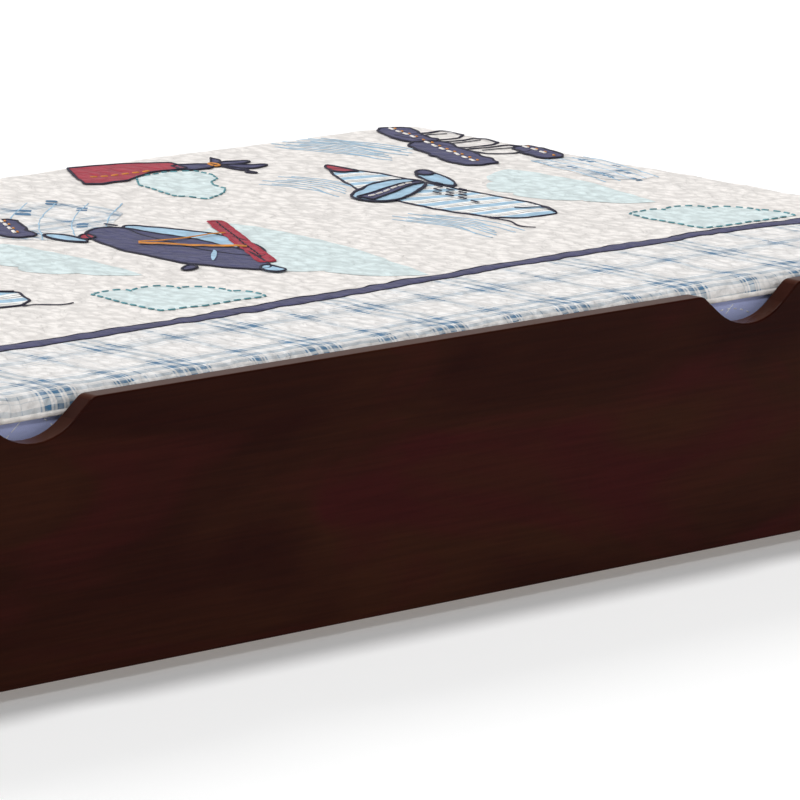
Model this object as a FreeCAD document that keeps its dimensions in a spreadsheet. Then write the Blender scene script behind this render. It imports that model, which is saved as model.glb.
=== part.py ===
"""A trundle bed: a low panelled box on four rigid casters that holds a mattress and its bedding.

The frame's origin is on the floor at the middle of the footprint. X runs along the bed, the
scooped front panel faces -Y and Z points up. Sizes are in millimetres. Every size comes from
the sheet, either straight from a cell or through one of the worked-out values below.
"""
import FreeCAD, Part
import Sketcher
import math
import os
import re

# name, value, meaning: the sizes that can each be set by themselves
CELLS = [
    ("mattress_length", 1880, "twin mattress, along the bed"),
    ("mattress_width", 975, "twin mattress, across the bed"),
    ("mattress_height", 150, "low foam mattress"),
    ("mattress_corner", 40, "radius of its upright corners"),
    ("mattress_edge", 10, "rounding of its long edges"),
    ("bedding_gap", 14, "from the mattress to the boards around it"),
    ("sheet_thickness", 1.5, "fitted sheet"),
    ("sheet_tuck", 90, "how far the sheet turns in under the mattress"),
    ("quilt_thickness", 6, "quilt"),
    ("quilt_drop", 28.2, "from the quilt's top to its hem"),
    ("fabric_gap", 0.3, "between one soft layer and the next"),
    ("panel_thickness", 22, "front and back panels"),
    ("end_thickness", 18, "end panels"),
    ("front_height", 270, "front panel"),
    ("back_height", 205, "back and end panels"),
    ("floor_clearance", 16, "from the floor to the panels"),
    ("panel_edge", 2, "rounding of the panels' outlines"),
    ("scoop_spacing", 966, "from one scooped hand grip to the other"),
    ("scoop_depth", 36, "how far a scoop reaches below the top edge"),
    ("scoop_radius", 75, "round bottom of a scoop"),
    ("scoop_slope", 39, "angle of a scoop's straight flanks, in degrees"),
    ("scoop_corner", 14, "rounding where a flank meets the top edge"),
    ("caster_height", 62, "from the floor to the caster plates' tops"),
    ("rail_thickness", 18, "boards that carry the casters"),
    ("rail_width", 95, "boards that carry the casters"),
    ("rail_gap", 2, "from such a board to the corner blocks"),
    ("cleat_width", 28, "ledges that carry the slats"),
    ("cleat_height", 33, "ledges that carry the slats"),
    ("slat_count", 14, "slats"),
    ("slat_width", 68, "slats"),
    ("slat_thickness", 17, "slats"),
    ("slat_end_gap", 14, "from an end panel to the first slat"),
    ("slat_play", 2, "from a slat's end to a panel"),
    ("block_size", 45, "corner blocks, square"),
    ("block_height", 50, "corner blocks"),
    ("wheel_radius", 25, "caster wheel"),
    ("tyre_width", 20, "caster wheel"),
    ("tyre_thickness", 6, "caster wheel"),
    ("tyre_edge", 3, "rounding of the tread's edges"),
    ("rim_thickness", 2.5, "band of the wheel core under the tyre"),
    ("hub_width", 24, "wheel core"),
    ("hub_radius", 9, "wheel core"),
    ("web_thickness", 6, "wheel core"),
    ("sleeve_radius", 5, "steel sleeve that the wheel turns on"),
    ("running_clearance", 0.06, "between the sleeve and the hub's bore"),
    ("axle_radius", 3.95, "axle bolt's shank"),
    ("axle_clearance", 0.05, "around the axle bolt"),
    ("axle_head_radius", 7, "axle bolt"),
    ("axle_head_height", 4, "axle bolt"),
    ("axle_overrun", 2, "how far the axle bolt passes its nut"),
    ("nut_across_flats", 13, "axle nut"),
    ("nut_height", 6.5, "axle nut"),
    ("fork_plate", 2.5, "steel of the caster fork"),
    ("fork_length", 60, "caster plate, across the bed"),
    ("fork_width", 50, "caster plate, along the bed"),
    ("fork_play", 0.5, "from the hub to each leg"),
    ("leg_shoulder", 44, "leg of the fork where it leaves the plate"),
    ("leg_end_radius", 10, "rounded lower end of a leg"),
    ("caster_inset", 60, "from the panels to a wheel's middle"),
    ("caster_hole_x", 40, "caster plate's holes, along the bed"),
    ("caster_hole_y", 48, "caster plate's holes, across the bed"),
    ("screw_radius", 2, "wood screw"),
    ("screw_head_radius", 4, "wood screw"),
    ("screw_head_height", 2.6, "wood screw"),
    ("screw_point", 4, "tapered end of a wood screw"),
    ("screw_bite", 12, "how deep a screw holds in the last piece of wood"),
    ("slat_screw_bite", 18, "how deep a slat's screw holds in its ledge"),
    ("counterbore_depth", 3, "recess for a screw's head"),
    ("hole_clearance", 0.15, "between a fastener and its hole"),
    ("hole_overrun", 2, "how far a blind hole passes a screw's point"),
    ("bolt_radius", 3, "frame bolt"),
    ("bolt_head_radius", 9, "frame bolt's wide flat head"),
    ("bolt_head_height", 2, "frame bolt's wide flat head"),
    ("bolt_length", 30, "frame bolt's shank"),
    ("bolt_spacing", 24, "between the two bolts of a corner"),
    ("insert_radius", 5, "threaded insert in a corner block"),
    ("insert_length", 15, "threaded insert in a corner block"),
    ("block_screw_spacing", 24, "between the two screws of a corner block"),
    ("rail_screw_spacing", 40, "between the two screws at each end of a rail"),
]

# name, sum: sizes and places that follow from the cells
WORKED_OUT = {
    "inner_length": "mattress_length + 2 * bedding_gap",
    "inner_width": "mattress_width + 2 * bedding_gap",
    "inner_x": "inner_length / 2",
    "inner_y": "inner_width / 2",
    "outer_x": "inner_x + end_thickness",
    "outer_y": "inner_y + panel_thickness",
    "front_top": "floor_clearance + front_height",
    "back_top": "floor_clearance + back_height",
    "rail_top": "caster_height + rail_thickness",
    "cleat_top": "rail_top + cleat_height",
    "slat_top": "cleat_top + slat_thickness",
    "cleat_y": "inner_y - cleat_width / 2",
    "slat_x": "inner_x - slat_end_gap - slat_width / 2",
    "slat_pitch": "2 * slat_x / (slat_count - 1)",
    "block_x": "inner_x - block_size / 2",
    "block_y": "inner_y - block_size / 2",
    "block_bottom": "rail_top - block_height",
    "block_middle": "rail_top - block_height / 2",
    "rail_x": "inner_x - block_size - rail_gap - rail_width / 2",
    "caster_y": "inner_y - caster_inset",
    "plate_bottom": "caster_height - fork_plate",
    "leg_x": "hub_width / 2 + fork_play + fork_plate / 2",
    "leg_face": "leg_x + fork_plate / 2",
    "rim_radius": "wheel_radius - tyre_thickness",
    "bore_radius": "sleeve_radius + running_clearance",
    "axle_hole": "axle_radius + axle_clearance",
    "screw_hole": "screw_radius + hole_clearance",
    "screw_head_hole": "screw_head_radius + hole_clearance",
    "screw_reach": "screw_bite + hole_overrun",
    "slat_screw_reach": "slat_screw_bite + hole_overrun",
    "cleat_screw_z": "rail_top + cleat_height / 2",
    "sheet_bottom": "slat_top + fabric_gap",
    "mattress_bottom": "sheet_bottom + sheet_thickness + fabric_gap",
    "mattress_top": "mattress_bottom + mattress_height",
    "sheet_grow": "fabric_gap + sheet_thickness",
    "sheet_top": "mattress_top + sheet_grow",
    "quilt_under": "sheet_top + fabric_gap",
    "quilt_top": "quilt_under + quilt_thickness",
    "quilt_hem": "quilt_top - quilt_drop",
    "scoop_middle": "front_top - scoop_depth + scoop_radius",
}

doc = FreeCAD.newDocument("TrundleBed")
sheet = doc.addObject("Spreadsheet::Sheet", "Sizes")
for row, (alias, size, meaning) in enumerate(CELLS, start=1):
    sheet.set(f"A{row}", meaning)
    sheet.set(f"B{row}", str(size))
    sheet.setAlias(f"B{row}", alias)
doc.recompute()

ALIASES = {alias for alias, size, meaning in CELLS}
NODES = []


# ---- sizes as expressions ------------------------------------------------------------------

def expression(text):
    """A sum of named sizes, written out in the sheet's own cells."""
    def spell_out(match):
        word = match.group()
        if word in ALIASES:
            return f"Sizes.{word}"
        if word in WORKED_OUT:
            return f"({expression(WORKED_OUT[word])})"
        return word
    return re.sub(r"[a-z_]+", spell_out, text)


def number(text):
    """What such a sum comes to now."""
    return float(sheet.evalExpression(expression(text)))


def bind(item, name, text):
    """Tie one property of an object to a sum of named sizes."""
    item.setExpression(name, expression(text))


def minus(text):
    return f"0 - ({text})"


# ---- bodies and sketches -------------------------------------------------------------------

def new_body(label):
    """An empty body whose shape becomes the node of that name."""
    body = doc.addObject("PartDesign::Body", label)
    body.AllowCompound = True
    NODES.append(body)
    return body


def locate(body, x="0", y="0", z="0"):
    """Put a body that is drawn about its own middle where it belongs in the bed."""
    for axis, text in (("x", x), ("y", y), ("z", z)):
        bind(body, f"Placement.Base.{axis}", text)


def origin_part(body, role):
    return next(item for item in body.Origin.OriginFeatures if item.Role == role)


def sketch_on(body, name, plane, across="0"):
    """A sketch parallel to one of the body's planes, at a coordinate along the third axis."""
    sketch = body.newObject("Sketcher::SketchObject", name)
    sketch.AttachmentSupport = [(origin_part(body, plane), "")]
    sketch.MapMode = "FlatFace"
    along_normal = minus(across) if plane == "XZ_Plane" else across
    bind(sketch, "AttachmentOffset.Base.z", along_normal)
    return sketch


def pin_down(sketch, geometry, point, u, v):
    """Fix one point of a sketch element at a pair of sums."""
    for kind, text in (("DistanceX", u), ("DistanceY", v)):
        rule = Sketcher.Constraint(kind, -1, 1, geometry, point, number(text))
        index = sketch.addConstraint(rule)
        bind(sketch, f"Constraints[{index}]", text)


def set_radius(sketch, geometry, text):
    index = sketch.addConstraint(Sketcher.Constraint("Radius", geometry, number(text)))
    bind(sketch, f"Constraints[{index}]", text)


def polygon(sketch, corners):
    """A closed outline of straight lines through pairs of sums."""
    spots = [FreeCAD.Vector(number(u), number(v), 0) for u, v in corners]
    for start, end in zip(spots, spots[1:] + spots[:1]):
        sketch.addGeometry(Part.LineSegment(start, end))
    for line, (u, v) in enumerate(corners):
        following = (line + 1) % len(corners)
        sketch.addConstraint(Sketcher.Constraint("Coincident", line, 2, following, 1))
        pin_down(sketch, line, 1, u, v)


def rectangle(sketch, low_u, high_u, low_v, high_v):
    polygon(sketch, [(low_u, low_v), (high_u, low_v), (high_u, high_v), (low_u, high_v)])


def circles(sketch, radius, spots):
    for u, v in spots:
        centre = FreeCAD.Vector(number(u), number(v), 0)
        ring = Part.Circle(centre, FreeCAD.Vector(0, 0, 1), number(radius))
        index = sketch.addGeometry(ring)
        pin_down(sketch, index, 3, u, v)
        set_radius(sketch, index, radius)


def pad(body, name, sketch, length, side="One side", toward_minus=False):
    """Material on one side of a sketch or half on each."""
    feature = body.newObject("PartDesign::Pad", name)
    feature.Profile = sketch
    feature.SideType = side
    feature.Reversed = toward_minus
    bind(feature, "Length", length)
    return feature


def drill(body, name, plane, start, end, radius, spots):
    """Round holes square to a plane, from one coordinate to another."""
    sketch = sketch_on(body, f"{name}_circles", plane, f"(({start}) + ({end})) / 2")
    circles(sketch, radius, spots)
    feature = body.newObject("PartDesign::Pocket", name)
    feature.Profile = sketch
    feature.SideType = "Symmetric"
    bind(feature, "Length", f"abs(({end}) - ({start}))")
    return feature


def turn(body, name, plane, across, heading, axis_at, start, sense, steps):
    """A piece turned on a lathe: radii at distances along an axis that lies in a sketch.

    heading is the sketch direction the axis runs in, u or v, axis_at is its place in the
    other one, and distances count from start in the given sense, 1 or -1.
    """
    sketch = sketch_on(body, f"{name}_profile", plane, across)

    def spot(distance, radius):
        along = f"({start}) + {sense} * ({distance})"
        aside = f"({axis_at}) + ({radius})"
        return (along, aside) if heading == "u" else (aside, along)

    polygon(sketch, [spot(distance, radius) for distance, radius in steps])
    ends = [spot(steps[0][0], "0"), spot(steps[-1][0], "0")]
    centre_line = Part.LineSegment(*[FreeCAD.Vector(number(u), number(v), 0) for u, v in ends])
    index = sketch.addGeometry(centre_line, True)
    for point, (u, v) in enumerate(ends, start=1):
        pin_down(sketch, index, point, u, v)
    feature = body.newObject("PartDesign::Revolution", name)
    feature.Profile = sketch
    feature.ReferenceAxis = (sketch, ["Axis0"])
    return feature


def repeat(body, name, first, second=None):
    """Copies of the whole body in a row or a grid: each direction is (axis, span, count)."""
    feature = body.newObject("PartDesign::LinearPattern", name)
    feature.TransformMode = "Whole shape"
    axis, span, count = first
    feature.Direction = (origin_part(body, axis), [""])
    bind(feature, "Length", span)
    bind(feature, "Occurrences", count)
    if second:
        axis, span, count = second
        feature.Direction2 = (origin_part(body, axis), [""])
        bind(feature, "Length2", span)
        bind(feature, "Occurrences2", count)
    body.Tip = feature


def mirror(body, *planes):
    """The whole body again on the other side of each plane."""
    for plane in planes:
        feature = body.newObject("PartDesign::Mirrored", f"{body.Name}_over_{plane[:2]}")
        feature.TransformMode = "Whole shape"
        feature.MirrorPlane = (origin_part(body, plane), [""])
        body.Tip = feature


def fillet(body, name, radius, wanted):
    """Round the edges of the body's present shape that a test on the edge picks."""
    doc.recompute()
    base = body.Tip
    chosen = [f"Edge{i}" for i, edge in enumerate(base.Shape.Edges, start=1) if wanted(edge)]
    feature = body.newObject("PartDesign::Fillet", name)
    feature.Base = (base, chosen)
    bind(feature, "Radius", radius)
    body.Tip = feature


def on_plane(edge, axis, coordinate):
    """Whether an edge lies in the plane where that axis has that coordinate."""
    box = edge.BoundBox
    low = getattr(box, f"{axis}Min")
    high = getattr(box, f"{axis}Max")
    return abs(low - coordinate) < 0.01 and abs(high - coordinate) < 0.01


def both_signs(text):
    return [text, minus(text)]


# ---- panels --------------------------------------------------------------------------------

def panel_holes(body, face, sense):
    """Blind holes in the inner face for the screws of the ledge and of the corner blocks."""
    bottom = f"{face} + {sense} * screw_reach"
    cleat_spots = [(x, "cleat_screw_z") for x in cleat_screw_places()]
    block_spots = [(x, "block_middle") for x in block_screw_places()]
    drill(body, f"{body.Name}_screw_holes", "XZ_Plane", face, bottom, "screw_hole",
          cleat_spots + block_spots)


CLEAT_SCREW_STEPS = (1, 3, 5)


def cleat_screw_places():
    """Midway between slats, so that these screws clear the slats' own."""
    return [x for step in CLEAT_SCREW_STEPS for x in both_signs(f"{step} * slat_pitch")]


def block_screw_places():
    """Two screws in each corner block."""
    steps = both_signs("block_screw_spacing / 2")
    return [f"{x} + {step}" for x in both_signs("block_x") for step in steps]


def add_scoops(body):
    """The two hand grips: a round bottom, straight sloping flanks and rounded top corners."""
    sketch = sketch_on(body, "scoop_outline", "XZ_Plane", "0 - outer_y")
    middle_u = number("scoop_spacing / 2")
    top = number("front_top")
    slope = number("scoop_slope")
    centre = FreeCAD.Vector(middle_u, number("scoop_middle"), 0)
    up = FreeCAD.Vector(0, 0, 1)

    def arc(middle, radius, start, end):
        """A circle's stretch between two directions, in degrees anticlockwise."""
        turns = [math.radians(angle) for angle in (start, end)]
        return Part.ArcOfCircle(Part.Circle(middle, up, radius), *turns)

    def from_centre(radius, angle):
        return FreeCAD.Rotation(up, angle).multVec(FreeCAD.Vector(radius, 0, 0))

    bowl_radius = number("scoop_radius")
    corner_radius = number("scoop_corner")
    bowl = sketch.addGeometry(arc(centre, bowl_radius, 270 - slope, 270 + slope))
    ends = [centre + from_centre(bowl_radius, 270 + side * slope) for side in (-1, 1)]
    rise = top - ends[0].y - corner_radius * number(f"1 - cos({slope})")
    run = rise / number(f"tan({slope})")
    flanks = []
    corners = []
    for side, low in zip((-1, 1), ends):
        high = low + FreeCAD.Vector(side * run, rise, 0)
        middle = high - from_centre(corner_radius, 90 + side * slope)
        flanks.append(sketch.addGeometry(Part.LineSegment(low, high)))
        first, last = sorted((90, 90 + side * slope))
        corners.append(sketch.addGeometry(arc(middle, corner_radius, first, last)))
    tops = [FreeCAD.Vector(sketch.Geometry[i].Center.x, top, 0) for i in corners]
    lid = sketch.addGeometry(Part.LineSegment(*tops))

    left_flank, right_flank = flanks
    left_corner, right_corner = corners
    joins = [(bowl, 1, left_flank, 1), (bowl, 2, right_flank, 1)]
    joins += [(left_flank, 2, left_corner, 1), (right_flank, 2, right_corner, 2)]
    joins += [(left_corner, 2, lid, 1), (right_corner, 1, lid, 2)]
    for join in joins:
        sketch.addConstraint(Sketcher.Constraint("Tangent", *join))
    pin_down(sketch, bowl, 3, "scoop_spacing / 2", "scoop_middle")
    set_radius(sketch, bowl, "scoop_radius")
    for corner in corners:
        set_radius(sketch, corner, "scoop_corner")
    sketch.addConstraint(Sketcher.Constraint("Horizontal", lid))
    height = sketch.addConstraint(Sketcher.Constraint("DistanceY", -1, 1, lid, 1, top))
    bind(sketch, f"Constraints[{height}]", "front_top")

    scoop = body.newObject("PartDesign::Pocket", "right_scoop")
    scoop.Profile = sketch
    bind(scoop, "Length", "panel_thickness")
    other = body.newObject("PartDesign::Mirrored", "left_scoop")
    other.Originals = [scoop]
    other.MirrorPlane = (origin_part(body, "YZ_Plane"), [""])
    body.Tip = other


def front_panel():
    body = new_body("front_panel")
    outline = sketch_on(body, "front_outline", "XZ_Plane", "0 - inner_y")
    rectangle(outline, "0 - outer_x", "outer_x", "floor_clearance", "front_top")
    pad(body, "front_board", outline, "panel_thickness")
    add_scoops(body)
    face = -number("outer_y")
    back = -number("inner_y")
    bottom = number("floor_clearance")
    end = number("outer_x")

    def on_outline(edge):
        upright_end = on_plane(edge, "X", end) or on_plane(edge, "X", -end)
        if on_plane(edge, "Y", face):
            return True
        return on_plane(edge, "Y", back) and not on_plane(edge, "Z", bottom) and not upright_end

    fillet(body, "front_rounding", "panel_edge", on_outline)
    panel_holes(body, "0 - inner_y", "-1")


def back_panel():
    body = new_body("back_panel")
    outline = sketch_on(body, "back_outline", "XZ_Plane", "outer_y")
    rectangle(outline, "0 - outer_x", "outer_x", "floor_clearance", "back_top")
    pad(body, "back_board", outline, "panel_thickness")
    face = number("outer_y")
    top = number("back_top")

    def on_outline(edge):
        return on_plane(edge, "Y", face) or (on_plane(edge, "Z", top) and not on_end(edge))

    def on_end(edge):
        return on_plane(edge, "X", number("outer_x")) or on_plane(edge, "X", -number("outer_x"))

    fillet(body, "back_rounding", "panel_edge", on_outline)
    panel_holes(body, "inner_y", "1")


def end_panel(label, side):
    """A board between the front and back panels, with two bolt holes near each end."""
    body = new_body(label)
    outline = sketch_on(body, f"{label}_outline", "YZ_Plane")
    rectangle(outline, "0 - inner_y", "inner_y", "floor_clearance", "back_top")
    pad(body, f"{label}_board", outline, "end_thickness", "Symmetric")
    top = number("back_top")
    fillet(body, f"{label}_rounding", "panel_edge",
           lambda edge: on_plane(edge, "Z", top) and edge.Length > number("inner_y"))
    spots = [(y, z) for y in both_signs("block_y") for z in frame_bolt_heights()]
    drill(body, f"{label}_bolt_holes", "YZ_Plane", "0 - end_thickness / 2", "end_thickness / 2",
          "bolt_radius + hole_clearance", spots)
    locate(body, x=f"{side} * (inner_x + end_thickness / 2)")


def frame_bolt_heights():
    return ["block_middle - bolt_spacing / 2", "block_middle + bolt_spacing / 2"]


# ---- inner woodwork ------------------------------------------------------------------------

def board(label, length, width, height):
    """A plain board on its own middle: length along X, width along Y, height up from zero."""
    body = new_body(label)
    outline = sketch_on(body, f"{label}_outline", "XY_Plane")
    rectangle(outline, f"0 - {length} / 2", f"{length} / 2", f"0 - {width} / 2", f"{width} / 2")
    pad(body, f"{label}_board", outline, height)
    return body


def slat(label, index):
    """A cross slat with a counterbored screw hole at each end."""
    body = board(label, "slat_width", "(inner_width - 2 * slat_play)", "slat_thickness")
    spots = [("0", y) for y in both_signs("cleat_y")]
    drill(body, f"{label}_holes", "XY_Plane", "0", "slat_thickness", "screw_hole", spots)
    drill(body, f"{label}_recesses", "XY_Plane", "slat_thickness - counterbore_depth",
          "slat_thickness", "screw_head_hole", spots)
    locate(body, x=f"{index} * slat_pitch - slat_x", z="cleat_top")


def cleat(label, side):
    """A ledge screwed to a long panel, which takes the slats' screws and the rails' screws."""
    body = board(label, "inner_length", "cleat_width", "cleat_height")
    slat_spots = [(f"{i} * slat_pitch - slat_x", "0") for i in range(int(number("slat_count")))]
    drill(body, f"{label}_slat_holes", "XY_Plane", "cleat_height - slat_screw_reach",
          "cleat_height", "screw_hole", slat_spots)
    steps = both_signs("rail_screw_spacing / 2")
    rail_spots = [(f"{x} + {step}", "0") for x in both_signs("rail_x") for step in steps]
    drill(body, f"{label}_rail_holes", "XY_Plane", "0", "screw_reach", "screw_hole", rail_spots)
    panel_spots = [(x, "cleat_height / 2") for x in cleat_screw_places()]
    drill(body, f"{label}_panel_holes", "XZ_Plane", "0 - cleat_width / 2", "cleat_width / 2",
          "screw_hole", panel_spots)
    inner_face = f"{-side} * cleat_width / 2"
    recess = f"{-side} * (cleat_width / 2 - counterbore_depth)"
    drill(body, f"{label}_recesses", "XZ_Plane", recess, inner_face, "screw_head_hole",
          panel_spots)
    locate(body, y=f"{side} * cleat_y", z="rail_top")


def caster_rail(label, side):
    """A board across the bed under the ledges, which carries two casters."""
    body = board(label, "rail_width", "inner_width", "rail_thickness")
    steps = both_signs("rail_screw_spacing / 2")
    ledge_spots = [(x, y) for x in steps for y in both_signs("cleat_y")]
    drill(body, f"{label}_ledge_holes", "XY_Plane", "0", "rail_thickness", "screw_hole",
          ledge_spots)
    drill(body, f"{label}_recesses", "XY_Plane", "0", "counterbore_depth", "screw_head_hole",
          ledge_spots)
    caster_spots = [(x, f"{y} + {step}") for x in both_signs("caster_hole_x / 2")
                    for y in both_signs("caster_y") for step in both_signs("caster_hole_y / 2")]
    drill(body, f"{label}_caster_holes", "XY_Plane", "0", "screw_reach", "screw_hole",
          caster_spots)
    locate(body, x=f"{side} * rail_x", z="caster_height")


def corner_block(label, side_x, side_y):
    """A block behind a corner, screwed to the long panel and bolted to through the end panel."""
    body = board(label, "block_size", "block_size", "block_height")
    outer_x = f"{side_x} * block_size / 2"
    insert_end = f"{side_x} * (block_size / 2 - insert_length - hole_overrun)"
    bolt_spots = [("0", f"block_height / 2 + {step}") for step in both_signs("bolt_spacing / 2")]
    drill(body, f"{label}_insert_holes", "YZ_Plane", outer_x, insert_end,
          "insert_radius + hole_clearance", bolt_spots)
    screw_spots = [(x, "block_height / 2") for x in both_signs("block_screw_spacing / 2")]
    drill(body, f"{label}_screw_holes", "XZ_Plane", "0 - block_size / 2", "block_size / 2",
          "screw_hole", screw_spots)
    inner_y = f"{-side_y} * block_size / 2"
    recess = f"{-side_y} * (block_size / 2 - counterbore_depth)"
    drill(body, f"{label}_recesses", "XZ_Plane", recess, inner_y, "screw_head_hole",
          screw_spots)
    locate(body, f"{side_x} * block_x", f"{side_y} * block_y", "block_bottom")


# ---- casters -------------------------------------------------------------------------------

def caster_fork(label, x, y):
    """A pressed steel plate with two legs that hold the wheel's axle."""
    body = new_body(label)
    plate = sketch_on(body, f"{label}_plate_outline", "XY_Plane", "plate_bottom")
    rectangle(plate, "0 - fork_width / 2", "fork_width / 2", "0 - fork_length / 2",
              "fork_length / 2")
    pad(body, f"{label}_plate", plate, "fork_plate")
    corner_radius = "leg_end_radius / 2"
    fillet(body, f"{label}_corners", corner_radius,
           lambda edge: edge.BoundBox.ZLength > number("fork_plate") / 2)
    leg = [("0 - leg_end_radius", "wheel_radius"), ("leg_end_radius", "wheel_radius")]
    leg += [("leg_shoulder / 2", "plate_bottom"), ("0 - leg_shoulder / 2", "plate_bottom")]
    for name, x_side in (("left", "0 - leg_x"), ("right", "leg_x")):
        outline = sketch_on(body, f"{label}_{name}_leg_outline", "YZ_Plane", x_side)
        polygon(outline, leg)
        pad(body, f"{label}_{name}_leg", outline, "fork_plate", "Symmetric")
        tip = sketch_on(body, f"{label}_{name}_tip_outline", "YZ_Plane", x_side)
        circles(tip, "leg_end_radius", [("0", "wheel_radius")])
        pad(body, f"{label}_{name}_tip", tip, "fork_plate", "Symmetric")
    drill(body, f"{label}_axle_hole", "YZ_Plane", "0 - leg_face", "leg_face", "axle_hole",
          [("0", "wheel_radius")])
    spots = [(u, v) for u in both_signs("caster_hole_x / 2")
             for v in both_signs("caster_hole_y / 2")]
    drill(body, f"{label}_screw_holes", "XY_Plane", "plate_bottom", "caster_height",
          "screw_hole", spots)
    locate(body, x, y)


def axle_bolt(label, x, y):
    """A shouldered bolt through both legs, with its head outside one of them."""
    body = new_body(label)
    end = "2 * leg_face + nut_height + axle_overrun"
    steps = [("0 - axle_head_height", "0"), ("0 - axle_head_height", "axle_head_radius")]
    steps += [("0", "axle_head_radius"), ("0", "axle_radius")]
    steps += [(end, "axle_radius"), (end, "0")]
    turn(body, f"{label}_turning", "XZ_Plane", "0", "u", "wheel_radius", "0 - leg_face", 1,
         steps)
    locate(body, x, y)


def wheel_core(label, x, y):
    """A moulded wheel: a hub with a bore, a thin web and a rim."""
    body = new_body(label)
    half = [("hub_width", "bore_radius"), ("hub_width", "hub_radius")]
    half += [("web_thickness", "hub_radius"), ("web_thickness", "rim_radius - rim_thickness")]
    half += [("tyre_width", "rim_radius - rim_thickness"), ("tyre_width", "rim_radius")]
    steps = [(f"0 - {width} / 2", radius) for width, radius in half]
    steps += [(f"{width} / 2", radius) for width, radius in reversed(half)]
    turn(body, f"{label}_turning", "XZ_Plane", "0", "u", "wheel_radius", "0", 1, steps)
    locate(body, x, y)


def tyre(label, x, y):
    """A soft band around the core, with rounded tread edges."""
    body = new_body(label)
    steps = [("0 - tyre_width / 2", "rim_radius"), ("0 - tyre_width / 2", "wheel_radius")]
    steps += [("tyre_width / 2", "wheel_radius"), ("tyre_width / 2", "rim_radius")]
    turn(body, f"{label}_turning", "XZ_Plane", "0", "u", "wheel_radius", "0", 1, steps)
    tread = number("wheel_radius")
    fillet(body, f"{label}_rounding", "tyre_edge",
           lambda edge: hasattr(edge.Curve, "Radius") and abs(edge.Curve.Radius - tread) < 0.01)
    locate(body, x, y)


def caster_grid():
    """Spans of the four casters, for the pieces that share a node."""
    return ("X_Axis", "2 * rail_x", "2"), ("Y_Axis", "2 * caster_y", "2")


def axle_sleeves():
    body = new_body("axle_sleeves")
    length = "hub_width + 2 * fork_play"
    steps = [("0", "axle_hole"), ("0", "sleeve_radius")]
    steps += [(length, "sleeve_radius"), (length, "axle_hole")]
    turn(body, "sleeve_turning", "XZ_Plane", "0 - caster_y", "u", "wheel_radius",
         f"0 - rail_x - ({length}) / 2", 1, steps)
    repeat(body, "sleeve_grid", *caster_grid())


def axle_nuts():
    """Hexagon nuts outside the far legs of the forks."""
    body = new_body("axle_nuts")
    face = "0 - rail_x + leg_face"
    outline = sketch_on(body, "nut_outline", "YZ_Plane", face)
    point = "nut_across_flats / sqrt(3)"
    flat = "nut_across_flats / 2"
    around = [(flat, f"{point} / 2"), ("0", point), (minus(flat), f"{point} / 2")]
    around += [(u, minus(v)) for u, v in reversed(around)]
    polygon(outline, [(f"{u} - caster_y", f"wheel_radius + {v}") for u, v in around])
    pad(body, "nut_hexagon", outline, "nut_height")
    drill(body, "nut_hole", "YZ_Plane", face, f"{face} + nut_height", "axle_hole",
          [("0 - caster_y", "wheel_radius")])
    repeat(body, "nut_grid", *caster_grid())


# ---- fasteners that share a node -----------------------------------------------------------

def screw(body, plane, across, heading, axis_at, seat, sense, length):
    """A wood screw whose head rests at seat and whose point lies length further on."""
    shoulder = f"({length}) - screw_point"
    steps = [("0 - screw_head_height", "0"), ("0 - screw_head_height", "screw_head_radius")]
    steps += [("0", "screw_head_radius"), ("0", "screw_radius")]
    steps += [(shoulder, "screw_radius"), (length, "0")]
    turn(body, f"{body.Name}_turning", plane, across, heading, axis_at, seat, sense, steps)


def slat_screws():
    body = new_body("slat_screws")
    screw(body, "XZ_Plane", "0 - cleat_y", "v", "0 - slat_x", "slat_top - counterbore_depth",
          -1, "slat_thickness - counterbore_depth + slat_screw_bite")
    repeat(body, "slat_screw_row", ("X_Axis", "2 * slat_x", "slat_count"))
    mirror(body, "XZ_Plane")


def cleat_screws():
    body = new_body("cleat_screws")
    outermost = CLEAT_SCREW_STEPS[-1]
    screw(body, "YZ_Plane", f"0 - {outermost} * slat_pitch", "u", "cleat_screw_z",
          "cleat_width - inner_y - counterbore_depth", -1,
          "cleat_width - counterbore_depth + screw_bite")
    repeat(body, "cleat_screw_row",
           ("X_Axis", f"{2 * outermost} * slat_pitch", str(2 * len(CLEAT_SCREW_STEPS))))
    mirror(body, "XZ_Plane")


def block_screws():
    body = new_body("block_screws")
    screw(body, "YZ_Plane", "0 - block_x - block_screw_spacing / 2", "u", "block_middle",
          "block_size - inner_y - counterbore_depth", -1,
          "block_size - counterbore_depth + screw_bite")
    repeat(body, "block_screw_pair", ("X_Axis", "block_screw_spacing", "2"))
    mirror(body, "XZ_Plane", "YZ_Plane")


def rail_screws():
    body = new_body("rail_screws")
    screw(body, "XZ_Plane", "0 - cleat_y", "v", "0 - rail_x - rail_screw_spacing / 2",
          "caster_height + counterbore_depth", 1,
          "rail_thickness - counterbore_depth + screw_bite")
    repeat(body, "rail_screw_pair", ("X_Axis", "rail_screw_spacing", "2"))
    mirror(body, "XZ_Plane", "YZ_Plane")


def caster_screws():
    body = new_body("caster_screws")
    screw(body, "XZ_Plane", "0 - caster_y - caster_hole_y / 2", "v",
          "0 - rail_x - caster_hole_x / 2", "plate_bottom", 1, "fork_plate + screw_bite")
    repeat(body, "caster_screw_grid", ("X_Axis", "caster_hole_x", "2"),
           ("Y_Axis", "caster_hole_y", "2"))
    mirror(body, "XZ_Plane", "YZ_Plane")


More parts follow.
